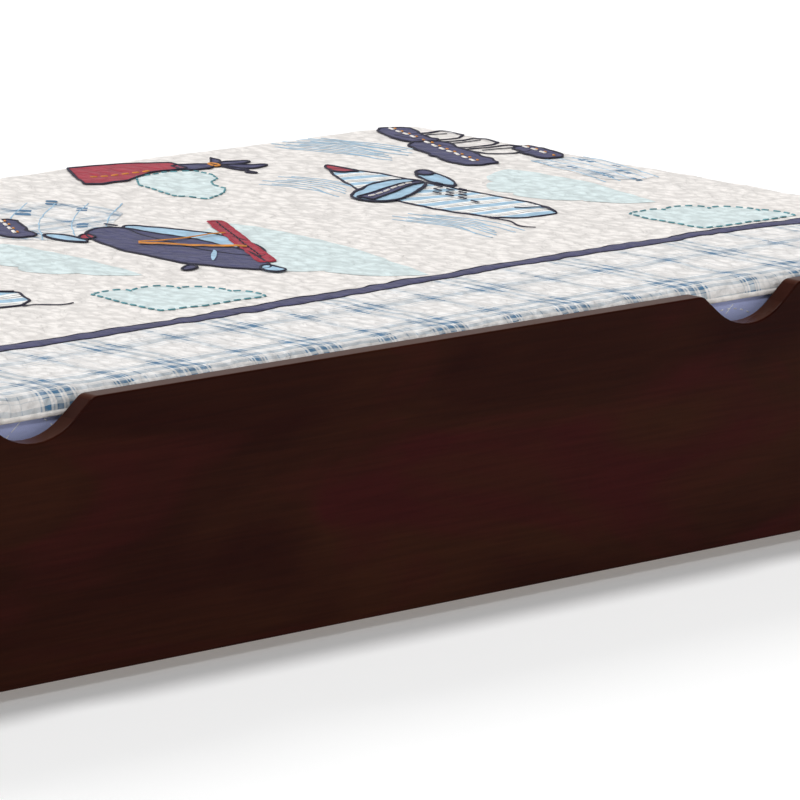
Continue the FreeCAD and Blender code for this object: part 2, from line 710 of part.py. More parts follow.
def frame_bolts():
    """Wide flat-headed bolts through the end panels into the corner blocks."""
    body = new_body("frame_bolts")
    steps = [("0 - bolt_head_height", "0"), ("0 - bolt_head_height", "bolt_head_radius")]
    steps += [("0", "bolt_head_radius"), ("0", "bolt_radius")]
    steps += [("bolt_length", "bolt_radius"), ("bolt_length", "0")]
    turn(body, "bolt_turning", "XZ_Plane", "0 - block_y", "u",
         "block_middle - bolt_spacing / 2", "0 - outer_x", 1, steps)
    repeat(body, "bolt_pair", ("Z_Axis", "bolt_spacing", "2"))
    mirror(body, "XZ_Plane", "YZ_Plane")


def threaded_inserts():
    body = new_body("threaded_inserts")
    steps = [("0", "bolt_radius + hole_clearance"), ("0", "insert_radius")]
    steps += [("insert_length", "insert_radius")]
    steps += [("insert_length", "bolt_radius + hole_clearance")]
    turn(body, "insert_turning", "XZ_Plane", "0 - block_y", "u",
         "block_middle - bolt_spacing / 2", "0 - inner_x", 1, steps)
    repeat(body, "insert_pair", ("Z_Axis", "bolt_spacing", "2"))
    mirror(body, "XZ_Plane", "YZ_Plane")


# ---- mattress and bedding ------------------------------------------------------------------

def soft_block(name, grow, bottom, top, rounded_bottom=True):
    """A slab around the mattress's outline, with round corners and rounded long edges."""
    body = doc.addObject("PartDesign::Body", name)
    outline = sketch_on(body, f"{name}_outline", "XY_Plane", bottom)
    half_x = f"mattress_length / 2 + {grow}"
    half_y = f"mattress_width / 2 + {grow}"
    rectangle(outline, minus(half_x), half_x, minus(half_y), half_y)
    pad(body, f"{name}_slab", outline, f"{top} - ({bottom})")
    fillet(body, f"{name}_corners", f"mattress_corner + {grow}",
           lambda edge: edge.BoundBox.ZLength > 1)
    rims = [number(top)] + ([number(bottom)] if rounded_bottom else [])
    fillet(body, f"{name}_edges", f"mattress_edge + {grow}",
           lambda edge: any(on_plane(edge, "Z", height) for height in rims))
    return body


def cut(label, base, tool):
    result = doc.addObject("Part::Cut", label)
    result.Base = base
    result.Tool = tool
    return result


def mattress():
    NODES.append(soft_block("mattress", "0", "mattress_bottom", "mattress_top"))


def fitted_sheet():
    """A thin cover over the top and sides, turned in under the mattress all round."""
    outside = soft_block("sheet_outside", "sheet_grow", "sheet_bottom", "sheet_top")
    inside = soft_block("sheet_inside", "fabric_gap", "sheet_bottom + sheet_thickness",
                        "mattress_top + fabric_gap")
    opening = doc.addObject("PartDesign::Body", "sheet_opening")
    outline = sketch_on(opening, "opening_outline", "XY_Plane", "sheet_bottom - 1")
    rectangle(outline, "sheet_tuck - mattress_length / 2", "mattress_length / 2 - sheet_tuck",
              "sheet_tuck - mattress_width / 2", "mattress_width / 2 - sheet_tuck")
    pad(opening, "opening_slab", outline, "mattress_height / 2")
    fillet(opening, "opening_corners", "mattress_corner",
           lambda edge: edge.BoundBox.ZLength > 1)
    hollow = cut("sheet_shell", outside, inside)
    NODES.append(cut("fitted_sheet", hollow, opening))


def quilt():
    """A padded cover that lies on the sheet and turns down over its edges."""
    outside = soft_block("quilt_outside", "sheet_grow + fabric_gap + quilt_thickness",
                         "quilt_hem", "quilt_top", rounded_bottom=False)
    inside = soft_block("quilt_inside", "sheet_grow + fabric_gap",
                        "quilt_hem - quilt_thickness", "quilt_under", rounded_bottom=False)
    NODES.append(cut("quilt", outside, inside))


# ---- the whole bed -------------------------------------------------------------------------

front_panel()
back_panel()
end_panel("left_end_panel", -1)
end_panel("right_end_panel", 1)
cleat("front_cleat", -1)
cleat("back_cleat", 1)
for slat_index in range(int(number("slat_count"))):
    slat(f"slat_{slat_index + 1:02d}", slat_index)
for x_name, x_sign in (("left", -1), ("right", 1)):
    caster_rail(f"{x_name}_caster_rail", x_sign)
    for y_name, y_sign in (("front", -1), ("back", 1)):
        corner = f"{y_name}_{x_name}"
        corner_block(f"{corner}_corner_block", x_sign, y_sign)
        spot_x = f"{x_sign} * rail_x"
        spot_y = f"{y_sign} * caster_y"
        caster_fork(f"{corner}_caster_fork", spot_x, spot_y)
        axle_bolt(f"{corner}_axle_bolt", spot_x, spot_y)
        wheel_core(f"{corner}_wheel_core", spot_x, spot_y)
        tyre(f"{corner}_tyre", spot_x, spot_y)
axle_sleeves()
axle_nuts()
slat_screws()
cleat_screws()
block_screws()
rail_screws()
caster_screws()
frame_bolts()
threaded_inserts()
mattress()
fitted_sheet()
quilt()
doc.recompute()

# ---- checks and export ---------------------------------------------------------------------

for item in doc.Objects:
    if "Invalid" in item.State or "Error" in item.State:
        raise RuntimeError(f"{item.Name} failed: {item.State}")
    if item.TypeId == "PartDesign::Pocket":
        before = item.BaseFeature.Shape.Volume
        if before - item.Shape.Volume < 1:
            raise RuntimeError(f"{item.Name} cuts nothing")

os.makedirs("parts", exist_ok=True)
for node in NODES:
    if node.Shape.isNull() or not node.Shape.isValid():
        raise RuntimeError(f"{node.Label} has no valid shape")
    node.Shape.exportStep(os.path.join("parts", f"{node.Label}.step"))
    print(f"{node.Label}: {len(node.Shape.Solids)} solids, {node.Shape.Volume / 1000:.2f} cm3")
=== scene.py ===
"""Looks of the trundle bed: bedding, stitching, timber and steel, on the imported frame.

Everything is in metres in the bed's own frame: X along the bed, the scooped front panel
facing -Y, Z up from the floor.
"""
import bpy
import bmesh
import math
import numpy as np
from mathutils import Matrix, Vector


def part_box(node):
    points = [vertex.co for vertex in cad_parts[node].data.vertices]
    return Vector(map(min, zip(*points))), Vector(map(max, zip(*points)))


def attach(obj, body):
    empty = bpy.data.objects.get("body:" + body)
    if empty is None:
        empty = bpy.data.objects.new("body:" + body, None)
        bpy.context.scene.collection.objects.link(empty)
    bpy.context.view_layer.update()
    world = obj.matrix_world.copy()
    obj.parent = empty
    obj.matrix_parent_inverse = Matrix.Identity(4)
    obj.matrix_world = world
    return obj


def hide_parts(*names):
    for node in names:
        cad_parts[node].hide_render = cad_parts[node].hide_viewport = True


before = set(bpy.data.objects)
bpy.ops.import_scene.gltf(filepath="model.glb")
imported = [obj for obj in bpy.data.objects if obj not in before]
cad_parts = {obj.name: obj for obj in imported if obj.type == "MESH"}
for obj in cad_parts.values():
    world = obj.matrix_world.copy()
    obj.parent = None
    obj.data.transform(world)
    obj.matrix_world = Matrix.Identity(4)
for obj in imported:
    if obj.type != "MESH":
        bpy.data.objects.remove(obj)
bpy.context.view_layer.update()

MM = 0.001
BEDDING = "bedding"


def screen(*colour):
    """A colour as it looks on a screen, 0 to 255, turned into what the shaders take."""
    channels = [c / 255 for c in colour]
    curved = [c / 12.92 if c <= 0.04045 else ((c + 0.055) / 1.055) ** 2.4 for c in channels]
    return (*curved, 1.0)


CREAM = screen(236, 231, 227)
PLAID_GROUND = screen(236, 233, 231)
PLAID_PALE = screen(164, 180, 192)
PLAID_DEEP = screen(72, 118, 154)
NAVY = screen(66, 66, 104)
INK = screen(34, 32, 54)
RED = screen(164, 40, 62)
SKY = screen(163, 198, 222)
AQUA = screen(214, 228, 229)
TEAL = screen(92, 150, 160)
ORANGE = screen(214, 140, 60)
WHITE = screen(250, 249, 246)
PERIWINKLE = screen(176, 184, 228)
PALE_PERIWINKLE = screen(190, 198, 242)


# ---- shader building ----

class Shader:
    """A material under construction: add() makes a node and wires or sets its inputs."""

    def __init__(self, name, roughness=0.6, **sockets):
        self.material = bpy.data.materials.new(name)
        self.material.use_nodes = True
        self.tree = self.material.node_tree
        self.surface = self.tree.nodes["Principled BSDF"]
        self.set("Roughness", roughness)
        for socket, value in sockets.items():
            self.set(socket.replace("_", " "), value)

    def set(self, socket, value):
        self.plug(self.surface.inputs[socket], value)

    def plug(self, socket, value):
        if isinstance(value, bpy.types.NodeSocket):
            self.tree.links.new(value, socket)
        else:
            socket.default_value = value

    def add(self, kind, inputs=None, output=0, **settings):
        node = self.tree.nodes.new(f"ShaderNode{kind}")
        for key, value in settings.items():
            setattr(node, key, value)
        for key, value in (inputs or {}).items():
            self.plug(node.inputs[key], value)
        return node.outputs[output]

    def place(self, stretch=(1, 1, 1)):
        """Points of the object, stretched, so that a pattern can run along one axis."""
        points = self.add("TexCoord", output=3)
        return self.add("Mapping", {"Vector": points, "Scale": stretch})

    def noise(self, scale, detail=3, distortion=0.0, points=None):
        """Soft random values, at the points of the object unless others are given."""
        inputs = {"Vector": points or self.place(), "Scale": scale, "Detail": detail,
                  "Distortion": distortion}
        return self.add("TexNoise", inputs)

    def math(self, operation, a, b=0.0):
        return self.add("Math", {0: a, 1: b}, operation=operation)

    def spread(self, value, low, high, to_low=0.0, to_high=1.0):
        inputs = {"Value": value, "From Min": low, "From Max": high}
        inputs.update({"To Min": to_low, "To Max": to_high})
        return self.add("MapRange", inputs)

    def mix(self, amount, a, b, blend="MIX"):
        return self.add("Mix", {0: amount, 6: a, 7: b}, 2, data_type="RGBA", blend_type=blend)

    def shaded(self, colour, shade):
        """The colour made lighter or darker by a plain value."""
        grey = self.add("CombineColor", {"Red": shade, "Green": shade, "Blue": shade})
        return self.mix(1.0, colour, grey, "MULTIPLY")

    def parts(self, vector):
        """The three coordinates of a vector, each as a socket."""
        node = self.tree.nodes.new("ShaderNodeSeparateXYZ")
        self.plug(node.inputs[0], vector)
        return node.outputs

    def ramp(self, value, stops):
        """Black with a grey band at each stop, given as its start, width and brightness."""
        node = self.tree.nodes.new("ShaderNodeValToRGB")
        self.plug(node.inputs[0], value)
        elements = node.color_ramp.elements
        node.color_ramp.interpolation = "CONSTANT"
        elements.remove(elements[1])
        elements[0].color = (0, 0, 0, 1)
        for start, width, strength in stops:
            elements.new(start).color = (strength, strength, strength, 1)
            elements.new(start + width).color = (0, 0, 0, 1)
        return node.outputs[0]

    def bump(self, height, depth, strength=1.0, under=None):
        inputs = {"Height": height, "Distance": depth, "Strength": strength}
        if under:
            inputs["Normal"] = under
        return self.add("Bump", inputs)


def puckers(shader, depth):
    """The relief of washed, quilted cotton: soft bulges with creases, over a fine weave."""
    points = shader.place((1, 0.7, 1))
    wander = shader.add("TexNoise", {"Vector": points, "Scale": 40, "Detail": 2}, output=1)
    shift = shader.add("VectorMath", {0: wander, 1: (0.016, 0.016, 0.016)}, operation="MULTIPLY")
    bent = shader.add("VectorMath", {0: points, 1: shift}, operation="ADD")
    cells = shader.add("TexVoronoi", {"Vector": bent, "Scale": 82, "Smoothness": 0.15},
                       feature="SMOOTH_F1")
    wrinkles = shader.noise(105, 4, 1.0, bent)
    height = shader.math("ADD", shader.math("MULTIPLY", cells, -1.0),
                         shader.math("MULTIPLY", wrinkles, 0.9))
    weave = shader.bump(shader.noise(1500, 2, points=points), 0.12 * MM)
    shader.set("Normal", shader.bump(height, depth, under=weave))
    return height


def cloth(name, colour, depth=2.0 * MM):
    """Matt cotton with painted shade in its creases, a little painted light on its bulges, and
    uneven dye.

    The colour is plain, or a function that draws a pattern in the shader.
    """
    shader = Shader(name, 0.92, Sheen_Weight=0.15, Specular_IOR_Level=0.2)
    # Painted shade and light: the colour is darker in the creases of the relief and a little
    # lighter on its bulges.
    painted_relief_shading = shader.spread(puckers(shader, depth), -0.25, 0.20, 0.82, 1.04)
    dye = shader.spread(shader.noise(60, 4), 0.3, 0.7, 0.97, 1.02)
    pattern = colour(shader) if callable(colour) else colour
    shader.set("Base Color", shader.shaded(pattern, shader.math("MULTIPLY", dye, painted_relief_shading)))
    return shader.material


def thread(name, colour):
    """Embroidery thread, with its twist as fine slanted ridges."""
    shader = Shader(name, 0.65, Specular_IOR_Level=0.35)
    ridges = shader.add("TexWave", {"Vector": shader.place(), "Scale": 420, "Distortion": 3},
                        output=1, bands_direction="DIAGONAL")
    dye = shader.spread(shader.noise(90, 2), 0.3, 0.7, 0.75, 1.15)
    shader.set("Base Color", shader.shaded(colour, dye))
    shader.set("Normal", shader.bump(ridges, 0.2 * MM))
    return shader.material


PLAID_REPEAT = (0.172, 0.222)
PLAID_OFFSET = (0.034, 0.1875)
# Each line of a repeat: its start and width in millimetres, and its strength. Fine lines
# lie about one broad line, and a group of broad lines follows.
PLAID_LINES = (
    ((25, 1.8, 0.5), (29.5, 1.8, 0.5), (33, 8, 0.85), (43, 1.8, 0.5), (47, 1.8, 0.5),
     (63, 1.6, 0.35), (77, 1.6, 0.35), (99, 2, 0.5), (104, 8, 0.9), (114.5, 2, 0.4),
     (119, 8, 1.0), (129.5, 2, 0.4), (134, 8, 0.9), (145, 2, 0.5)),
    ((27, 3, 0.5), (34, 3, 0.5), (40, 15, 0.85), (58, 3, 0.5), (65, 3, 0.5),
     (86, 2.5, 0.35), (108, 2.5, 0.35), (128, 5, 0.7), (140, 1.2, 0.5), (144, 4.5, 0.9),
     (150, 1.5, 0.4), (154, 11, 1.0), (169, 2, 0.4), (175, 13, 0.9), (192, 3, 0.5)),
)


def plaid(shader):
    """A woven check: fine pale lines in two directions and deep blue where bands cross."""
    across = shader.add("Attribute", output=1, attribute_name="cloth")
    sway = shader.noise(26, 2)
    shift = shader.add("VectorMath", {0: sway, 1: (0.008, 0.008, 0)}, operation="MULTIPLY")
    moved = shader.add("VectorMath", {0: across, 1: shift}, operation="ADD")
    parts = shader.parts(moved)
    bands = []
    for axis, (repeat, offset, marks) in enumerate(zip(PLAID_REPEAT, PLAID_OFFSET, PLAID_LINES)):
        place = shader.math("DIVIDE", shader.math("ADD", parts[axis], offset), repeat)
        stops = [(start * MM / repeat, width * MM / repeat, strength)
                 for start, width, strength in marks]
        bands.append(shader.ramp(shader.math("FRACT", place), stops))
    lines = shader.math("MAXIMUM", *bands)
    crossing = shader.math("MULTIPLY", *bands)
    faded = shader.spread(shader.noise(70, 3), 0.36, 0.58, 0.55, 1.0)
    strength = shader.math("MULTIPLY", shader.spread(lines, 0.0, 1.0, 0.0, 0.75), faded)
    pale = shader.mix(strength, PLAID_GROUND, PLAID_PALE)
    deep = shader.math("MULTIPLY", shader.spread(crossing, 0.16, 0.44), faded)
    return shader.mix(deep, pale, PLAID_DEEP)


STRIPE_REPEAT = 0.038


def stripes(shader):
    """Pale blue and white bands with a fine dark line beside each."""
    across, along, _ = shader.parts(shader.add("Attribute", output=1, attribute_name="cloth"))
    slanted = shader.math("ADD", along, shader.math("MULTIPLY", across, 0.2))
    place = shader.math("FRACT", shader.math("DIVIDE", slanted, STRIPE_REPEAT))
    band = shader.ramp(place, [(0.05, 0.42, 1.0)])
    line = shader.ramp(place, [(0.60, 0.07, 0.8), (0.80, 0.06, 0.6)])
    return shader.mix(line, shader.mix(band, WHITE, SKY), INK)


def cream_and_plaid(shader):
    """Cream in the middle and plaid in the border; "border" is negative inside the border."""
    side = shader.add("Attribute", output=2, attribute_name="border")
    return shader.mix(shader.math("LESS_THAN", side, 0.0), CREAM, plaid(shader))


def sheet_cloth():
    """Smooth periwinkle percale with a fine weave and soft creases."""
    shader = Shader("sheet_cloth", 0.85, Sheen_Weight=0.1, Specular_IOR_Level=0.25)
    weave = shader.bump(shader.noise(1800, 2), 0.08 * MM)
    creases = shader.noise(42, 3, 0.6, shader.place((1, 1, 0.35)))
    shader.set("Normal", shader.bump(creases, 1.6 * MM, under=weave))
    fade = shader.spread(shader.noise(900, 2), 0.3, 0.7)
    shader.set("Base Color", shader.mix(fade, PERIWINKLE, PALE_PERIWINKLE))
    return shader.material


def drawn_out(axis, amount):
    """A stretch that draws a pattern out along one axis: 0 for X, 1 for Y, 2 for Z."""
    return [amount if k == axis else 1.0 for k in range(3)]


def espresso(name, along):
    """Dark stained, lacquered wood whose grain runs along the given axis.

    Faces that look up are coloured lighter and redder: painted light from above.
    """
    shader = Shader(name, 0.3, IOR=1.10)
    stretch = drawn_out(along, 0.28)
    clouds = shader.noise(7, 4, 0.6, shader.place(stretch))
    red_clouds = shader.noise(5, 3, 1.2, shader.place([x * 1.3 + 0.1 for x in stretch]))
    grain = shader.noise(260, 5, 0.4, shader.place(drawn_out(along, 0.035)))
    knots = shader.add("TexVoronoi", {"Vector": shader.place(stretch), "Scale": 5.5})
    base = shader.mix(shader.spread(clouds, 0.38, 0.64), (0.0165, 0.0026, 0.0014, 1),
                      (0.0300, 0.0078, 0.0030, 1))
    warm = shader.mix(shader.spread(red_clouds, 0.50, 0.68), base, (0.0330, 0.0042, 0.0038, 1))
    knotted = shader.mix(shader.spread(knots, 0.07, 0.015, 0.0, 0.85), warm,
                         (0.0560, 0.0150, 0.0070, 1))
    streak = shader.spread(grain, 0.35, 0.65, 0.86, 1.12)
    stained = shader.shaded(knotted, streak)
    facing = shader.parts(shader.add("TexCoord", output=1))
    # Painted light: the more a face looks up, the lighter and redder its colour.
    painted_top_light = shader.spread(facing[2], 0.72, 1.0, 0.0, 0.9)
    shader.set("Base Color", shader.mix(painted_top_light, stained, (0.070, 0.029, 0.020, 1)))
    shader.set("Roughness", shader.spread(clouds, 0.3, 0.7, 0.26, 0.36))
    pores = shader.bump(grain, 0.05 * MM, 0.5)
    shader.set("Normal", shader.bump(shader.noise(16, 2), 0.25 * MM, 0.4, pores))
    return shader.material


def pine(name, along):
    """Planed, unfinished pine: pale with darker growth lines along the given axis."""
    shader = Shader(name, 0.62, Specular_IOR_Level=0.3)
    points = shader.place(drawn_out(along, 0.06))
    rings = shader.add("TexWave", {"Vector": points, "Scale": 26, "Distortion": 7, "Detail": 3,
                                   "Detail Scale": 1.2}, output=1)
    fibres = shader.noise(420, 4, points=points)
    tone = shader.mix(shader.spread(rings, 0.1, 0.9), screen(226, 196, 150),
                      screen(202, 158, 104))
    shade = shader.spread(fibres, 0.3, 0.7, 0.88, 1.06)
    shader.set("Base Color", shader.shaded(tone, shade))
    shader.set("Normal", shader.bump(fibres, 0.15 * MM, 0.6))
    return shader.material


def zinc():
    """Bright zinc plating with faint cloudy passivation."""
    shader = Shader("zinc", 0.32, Metallic=1.0)
    patches = shader.noise(160, 3)
    shader.set("Base Color", shader.mix(shader.spread(patches, 0.3, 0.7),
                                        screen(196, 198, 200), screen(170, 172, 168)))
    shader.set("Roughness", shader.spread(patches, 0.3, 0.7, 0.26, 0.42))
    return shader.material


def moulded(name, colour, roughness, depth):
    """Moulded plastic or rubber with a fine eggshell texture."""
    shader = Shader(name, roughness, Specular_IOR_Level=0.4)
    texture = shader.noise(900, 3)
    dust = shader.spread(shader.noise(70, 3), 0.35, 0.7, 0.0, 0.25)
    shader.set("Base Color", shader.mix(dust, colour, screen(118, 116, 112)))
    shader.set("Normal", shader.bump(texture, depth))
    return shader.material


# ---- mesh building ----

LATTICE = 97  # points each way before the random heights repeat


def waves(s, t, size, seed):
    """Smooth random heights, -1 to 1, that change over the given size."""
    lattice = np.random.default_rng(seed).uniform(-1, 1, (LATTICE, LATTICE))
    u, v = np.asarray(s) / size, np.asarray(t) / size
    i, j = np.floor(u).astype(int), np.floor(v).astype(int)
    a, b = u - i, v - j
    a, b = a * a * (3 - 2 * a), b * b * (3 - 2 * b)

    def corner(di, dj):
        return lattice[(i + di) % LATTICE, (j + dj) % LATTICE]

    low = corner(0, 0) * (1 - a) + corner(1, 0) * a
    high = corner(0, 1) * (1 - a) + corner(1, 1) * a
    return low * (1 - b) + high * b


def new_piece(name, points, faces, materials, body=BEDDING, face_materials=None):
    """A mesh object that rides on a body and takes the materials it is given."""
    mesh = bpy.data.meshes.new(name)
    mesh.from_pydata([tuple(p) for p in points], [], [tuple(f) for f in faces])
    for material in materials:
        mesh.materials.append(material)
    if face_materials is not None:
        mesh.polygons.foreach_set("material_index", face_materials)
    mesh.polygons.foreach_set("use_smooth", [True] * len(mesh.polygons))
    mesh.update()
    piece = bpy.data.objects.new(name, mesh)
    bpy.context.scene.collection.objects.link(piece)
    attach(piece, body)
    return piece


def set_points(piece, name, kind, values):
    """Store one value per vertex for the shaders to read."""
    attribute = piece.data.attributes.new(name, kind, "POINT")
    field = "vector" if kind == "FLOAT_VECTOR" else "value"
    attribute.data.foreach_set(field, np.asarray(values, dtype=np.float32).ravel())


def grid_faces(rows, columns):
    """Faces of a sheet of points, row by row."""
    index = np.arange(rows * columns).reshape(rows, columns)
    quads = [index[:-1, :-1], index[1:, :-1], index[1:, 1:], index[:-1, 1:]]
    return np.stack([points.ravel() for points in quads], axis=1)


def corners(node):
    """Lowest and highest corners of a CAD node."""
    return [np.array(corner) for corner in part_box(node)]


class Cover:
    """Cloth laid over the mattress: flat on top, rolled over the edges and hanging down.

    A point of the cloth is known by (s, t), its place before it was laid, measured from the
    middle. The cloth's outside keeps to the box between the corners low and high.
    """

    def __init__(self, low, high, corner, edge, hang, tuck=0.0, tuck_edge=0.0, relief=None):
        self.top = high[2]
        self.core = np.array([high[0] - corner, high[1] - corner])
        self.corner, self.edge, self.hang = corner, edge, hang
        self.tuck, self.tuck_edge, self.relief = tuck, tuck_edge, relief
        self.flat = corner - edge
        self.reach = self.flat + (edge + tuck_edge) * math.pi / 2 + hang + tuck

    def lay(self, s, t, lift=0.0):
        """Where points of the cloth lie, and their outward normals."""
        s, t = np.asarray(s, dtype=float), np.asarray(t, dtype=float)
        over = np.stack([np.maximum(np.abs(s) - self.core[0], 0) * np.sign(s),
                         np.maximum(np.abs(t) - self.core[1], 0) * np.sign(t)], axis=-1)
        reach = np.linalg.norm(over, axis=-1)
        out = over / np.maximum(reach, 1e-9)[..., None]
        left = reach - self.flat
        roll = np.clip(left / self.edge, 0, math.pi / 2)
        left = left - self.edge * math.pi / 2
        side = np.clip(left, 0, self.hang)
        left = left - self.hang
        under = np.zeros_like(roll)
        if self.tuck_edge:
            under = np.clip(left / self.tuck_edge, 0, math.pi / 2)
            left = left - self.tuck_edge * math.pi / 2
        inward = np.clip(left, 0, None)
        outward = (np.minimum(reach, self.flat) + self.edge * np.sin(roll)
                   - self.tuck_edge * (1 - np.cos(under)) - inward)
        down = self.edge * (1 - np.cos(roll)) + side + self.tuck_edge * np.sin(under)
        heel = np.stack([np.clip(s, -self.core[0], self.core[0]),
                         np.clip(t, -self.core[1], self.core[1])], axis=-1)
        plan = heel + out * outward[..., None]
        points = np.concatenate([plan, (self.top - down)[..., None]], axis=-1)
        turn = roll + under
        normals = np.concatenate([out * np.sin(turn)[..., None], np.cos(turn)[..., None]],
                                 axis=-1)
        raised = lift + (self.relief(s, t) if self.relief else 0.0)
        return points + normals * np.asarray(raised)[..., None], normals

    def grid(self, step, reach_at=None):
        """Cloth coordinates of a regular grid whose own corners are rounded off."""
        half = self.core + self.reach
        lines = [np.linspace(-h, h, int(2 * h / step) + 1) for h in half]
        s, t = np.meshgrid(*lines, indexing="ij")
        a = np.maximum(np.abs(s) - self.core[0], 0)
        b = np.maximum(np.abs(t) - self.core[1], 0)
        longest = np.maximum(np.maximum(a, b), 1e-9)
        angle = np.where(a >= b, math.pi / 4 * b / longest, math.pi / 2 - math.pi / 4 * a / longest)
        scale = reach_at(s, t) / self.reach if reach_at else 1.0
        a, b = longest * np.cos(angle) * scale, longest * np.sin(angle) * scale
        far_s, far_t = np.abs(s) > self.core[0], np.abs(t) > self.core[1]
        s = np.where(far_s, np.sign(s) * (self.core[0] + a), s)
        t = np.where(far_t, np.sign(t) * (self.core[1] + b), t)
        return s, t


def thicken(piece, thickness):
    """Give a laid cloth its thickness, inwards."""
    modifier = piece.modifiers.new("thickness", "SOLIDIFY")
    modifier.thickness = thickness
    modifier.offset = -1.0


CUT = 6 * MM  # how finely a patch is cut so that it can follow the cloth
STITCH_STEP = 2 * MM  # from point to point along a running stitch


class Stitchwork:
    """Gathers patches or threads that lie on a cover into one piece with several materials."""

    def __init__(self, cover):
        self.cover = cover
        self.points, self.flat, self.faces, self.inks, self.materials = [], [], [], [], []
        self.count = 0

    def join(self, points, flat, faces, material):
        if material not in self.materials:
            self.materials.append(material)
        self.faces += [[i + self.count for i in face] for face in faces]
        self.inks += [self.materials.index(material)] * len(faces)
        self.points.append(points)
        self.flat.append(flat)
        self.count += len(points)

    def patch(self, outline, material, lift):
        """A piece of cloth inside a closed outline, cut finely enough to follow the cover."""
        shape = bmesh.new()
        shape.faces.new([shape.verts.new((s, t, 0)) for s, t in outline])
        bmesh.ops.triangulate(shape, faces=shape.faces[:])
        low, high = np.min(outline, axis=0), np.max(outline, axis=0)
        for axis, normal in enumerate((Vector((1, 0, 0)), Vector((0, 1, 0)))):
            for place in np.arange(low[axis], high[axis], CUT)[1:]:
                geometry = shape.verts[:] + shape.edges[:] + shape.faces[:]
                bmesh.ops.bisect_plane(shape, geom=geometry, plane_co=normal * place,
                                       plane_no=normal)
        bmesh.ops.triangulate(shape, faces=shape.faces[:])
        bmesh.ops.recalc_face_normals(shape, faces=shape.faces[:])
        shape.verts.index_update()
        flat = np.array([v.co[:2] for v in shape.verts])
        flip = sum(f.normal.z for f in shape.faces) < 0
        faces = [[v.index for v in (reversed(f.verts) if flip else f.verts)] for f in shape.faces]
        shape.free()
        points, _ = self.cover.lay(flat[:, 0], flat[:, 1], lift)
        self.join(points, flat, faces, material)

    def cord(self, path, width, height, material, lift=0.0, closed=False):
        """A low half-round ridge of thread along a path on the cloth."""
        path = np.asarray(path)
        if closed:
            path = np.vstack([path, path[:1]])
        points, normals = self.cover.lay(path[:, 0], path[:, 1], lift)
        along = np.gradient(points, axis=0)
        side = np.cross(normals, along)
        side /= np.maximum(np.linalg.norm(side, axis=1), 1e-9)[:, None]
        ring = [(-0.5, -0.3), (-0.3, 0.7), (0.3, 0.7), (0.5, -0.3)]
        width = np.broadcast_to(width, len(path))[:, None]
        rows = [points + side * (a * width) + normals * (b * height) for a, b in ring]
        mesh = np.stack(rows, axis=1).reshape(-1, 3)
        faces = grid_faces(len(path), len(ring))
        ends = [[0, 1, 2, 3], [len(mesh) - 1 - i for i in range(4)]]
        self.join(mesh, np.repeat(path, len(ring), axis=0), faces.tolist() + ends, material)

    def dashes(self, path, stitch, gap, width, height, material, lift=0.0, closed=False):
        """Running stitches: short ridges along a path with gaps between."""
        path = walk(path, STITCH_STEP, closed)
        on, off = max(2, round(stitch / STITCH_STEP) + 1), round(gap / STITCH_STEP)
        for start in range(0, len(path) - on, on + off):
            self.cord(path[start:start + on], width, height, material, lift)

    def finish(self, name):
        """Make the one piece, with the places on the cloth for the shaders."""
        piece = new_piece(name, np.vstack(self.points), self.faces, self.materials,
                          face_materials=self.inks)
        flat = np.vstack(self.flat)
        cloth_points = np.column_stack([flat, np.zeros(len(flat))])
        set_points(piece, "cloth", "FLOAT_VECTOR", cloth_points)
        return piece


def walk(path, step, closed=False):
    """The same path with points every step along it."""
    path = np.asarray(path, dtype=float)
    if closed:
        path = np.vstack([path, path[:1]])
    lengths = np.concatenate([[0], np.cumsum(np.linalg.norm(np.diff(path, axis=0), axis=1))])
    marks = np.arange(0, lengths[-1], step)
    return np.column_stack([np.interp(marks, lengths, path[:, k]) for k in (0, 1)])


def rounded(points, rounds=3, closed=True):
    """An outline with its corners cut again and again until it is a smooth curve."""
    path = np.asarray(points, dtype=float)
    for _ in range(rounds):
        following = np.roll(path, -1, axis=0) if closed else path[1:]
        current = path if closed else path[:-1]
        near, far = current * 0.75 + following * 0.25, current * 0.25 + following * 0.75
        smoothed = np.stack([near, far], axis=1).reshape(-1, 2)
        path = smoothed if closed else np.vstack([path[:1], smoothed, path[-1:]])
    return path


# ---- quilt ----
quilt_low, quilt_high = corners("quilt")
QUILT_CORNER = 48.1 * MM
QUILT_EDGE = 17 * MM
QUILT_THICKNESS = 5.5 * MM
QUILT_STEP = 6.5 * MM
FULL_PUCKERS = 2.4 * MM
SCOOP_MIDDLE = 0.483
STRIP_WIDTH = 21 * MM
STRIP_PLACE = -0.290
STRIP_WAVE = 1.6


def quilt_relief(s, t):
    """Soft unevenness of a quilt that has been washed and pulled straight by hand."""
    broad = 1.1 * MM * waves(s, t, 0.26, 3)
    creased = 0.8 * MM * waves(s, t, 0.047, 5)
    fine = 0.5 * MM * waves(s, t, 0.021, 7) + 0.3 * MM * waves(s, t, 0.013, 9)
    return broad + creased + fine - 0.9 * MM


def strip_line(s):
    """Where the navy strip runs: across the cloth in one long, shallow wave."""
    s = np.asarray(s)
    return (STRIP_PLACE + 13 * MM * np.sin((s - 0.2) * 2 * math.pi / STRIP_WAVE)
            + 1.5 * MM * waves(s, s * 0, 0.06, 12))


quilt_hang = quilt_high[2] - quilt_low[2] - QUILT_EDGE
quilt_cover = Cover(quilt_low, quilt_high, QUILT_CORNER, QUILT_EDGE, quilt_hang,
                    relief=quilt_relief)


def quilt_reach(s, t):
    """The hem hangs a little higher towards the right end of the front."""
    rise = np.where(t < 0, 7 * MM + 1.5 * MM * s / SCOOP_MIDDLE, 1.5 * MM)
    wander = 0.9 * MM * waves(s, t, 0.12, 15)
    return quilt_cover.reach - np.clip(rise, 0, 9 * MM) - wander


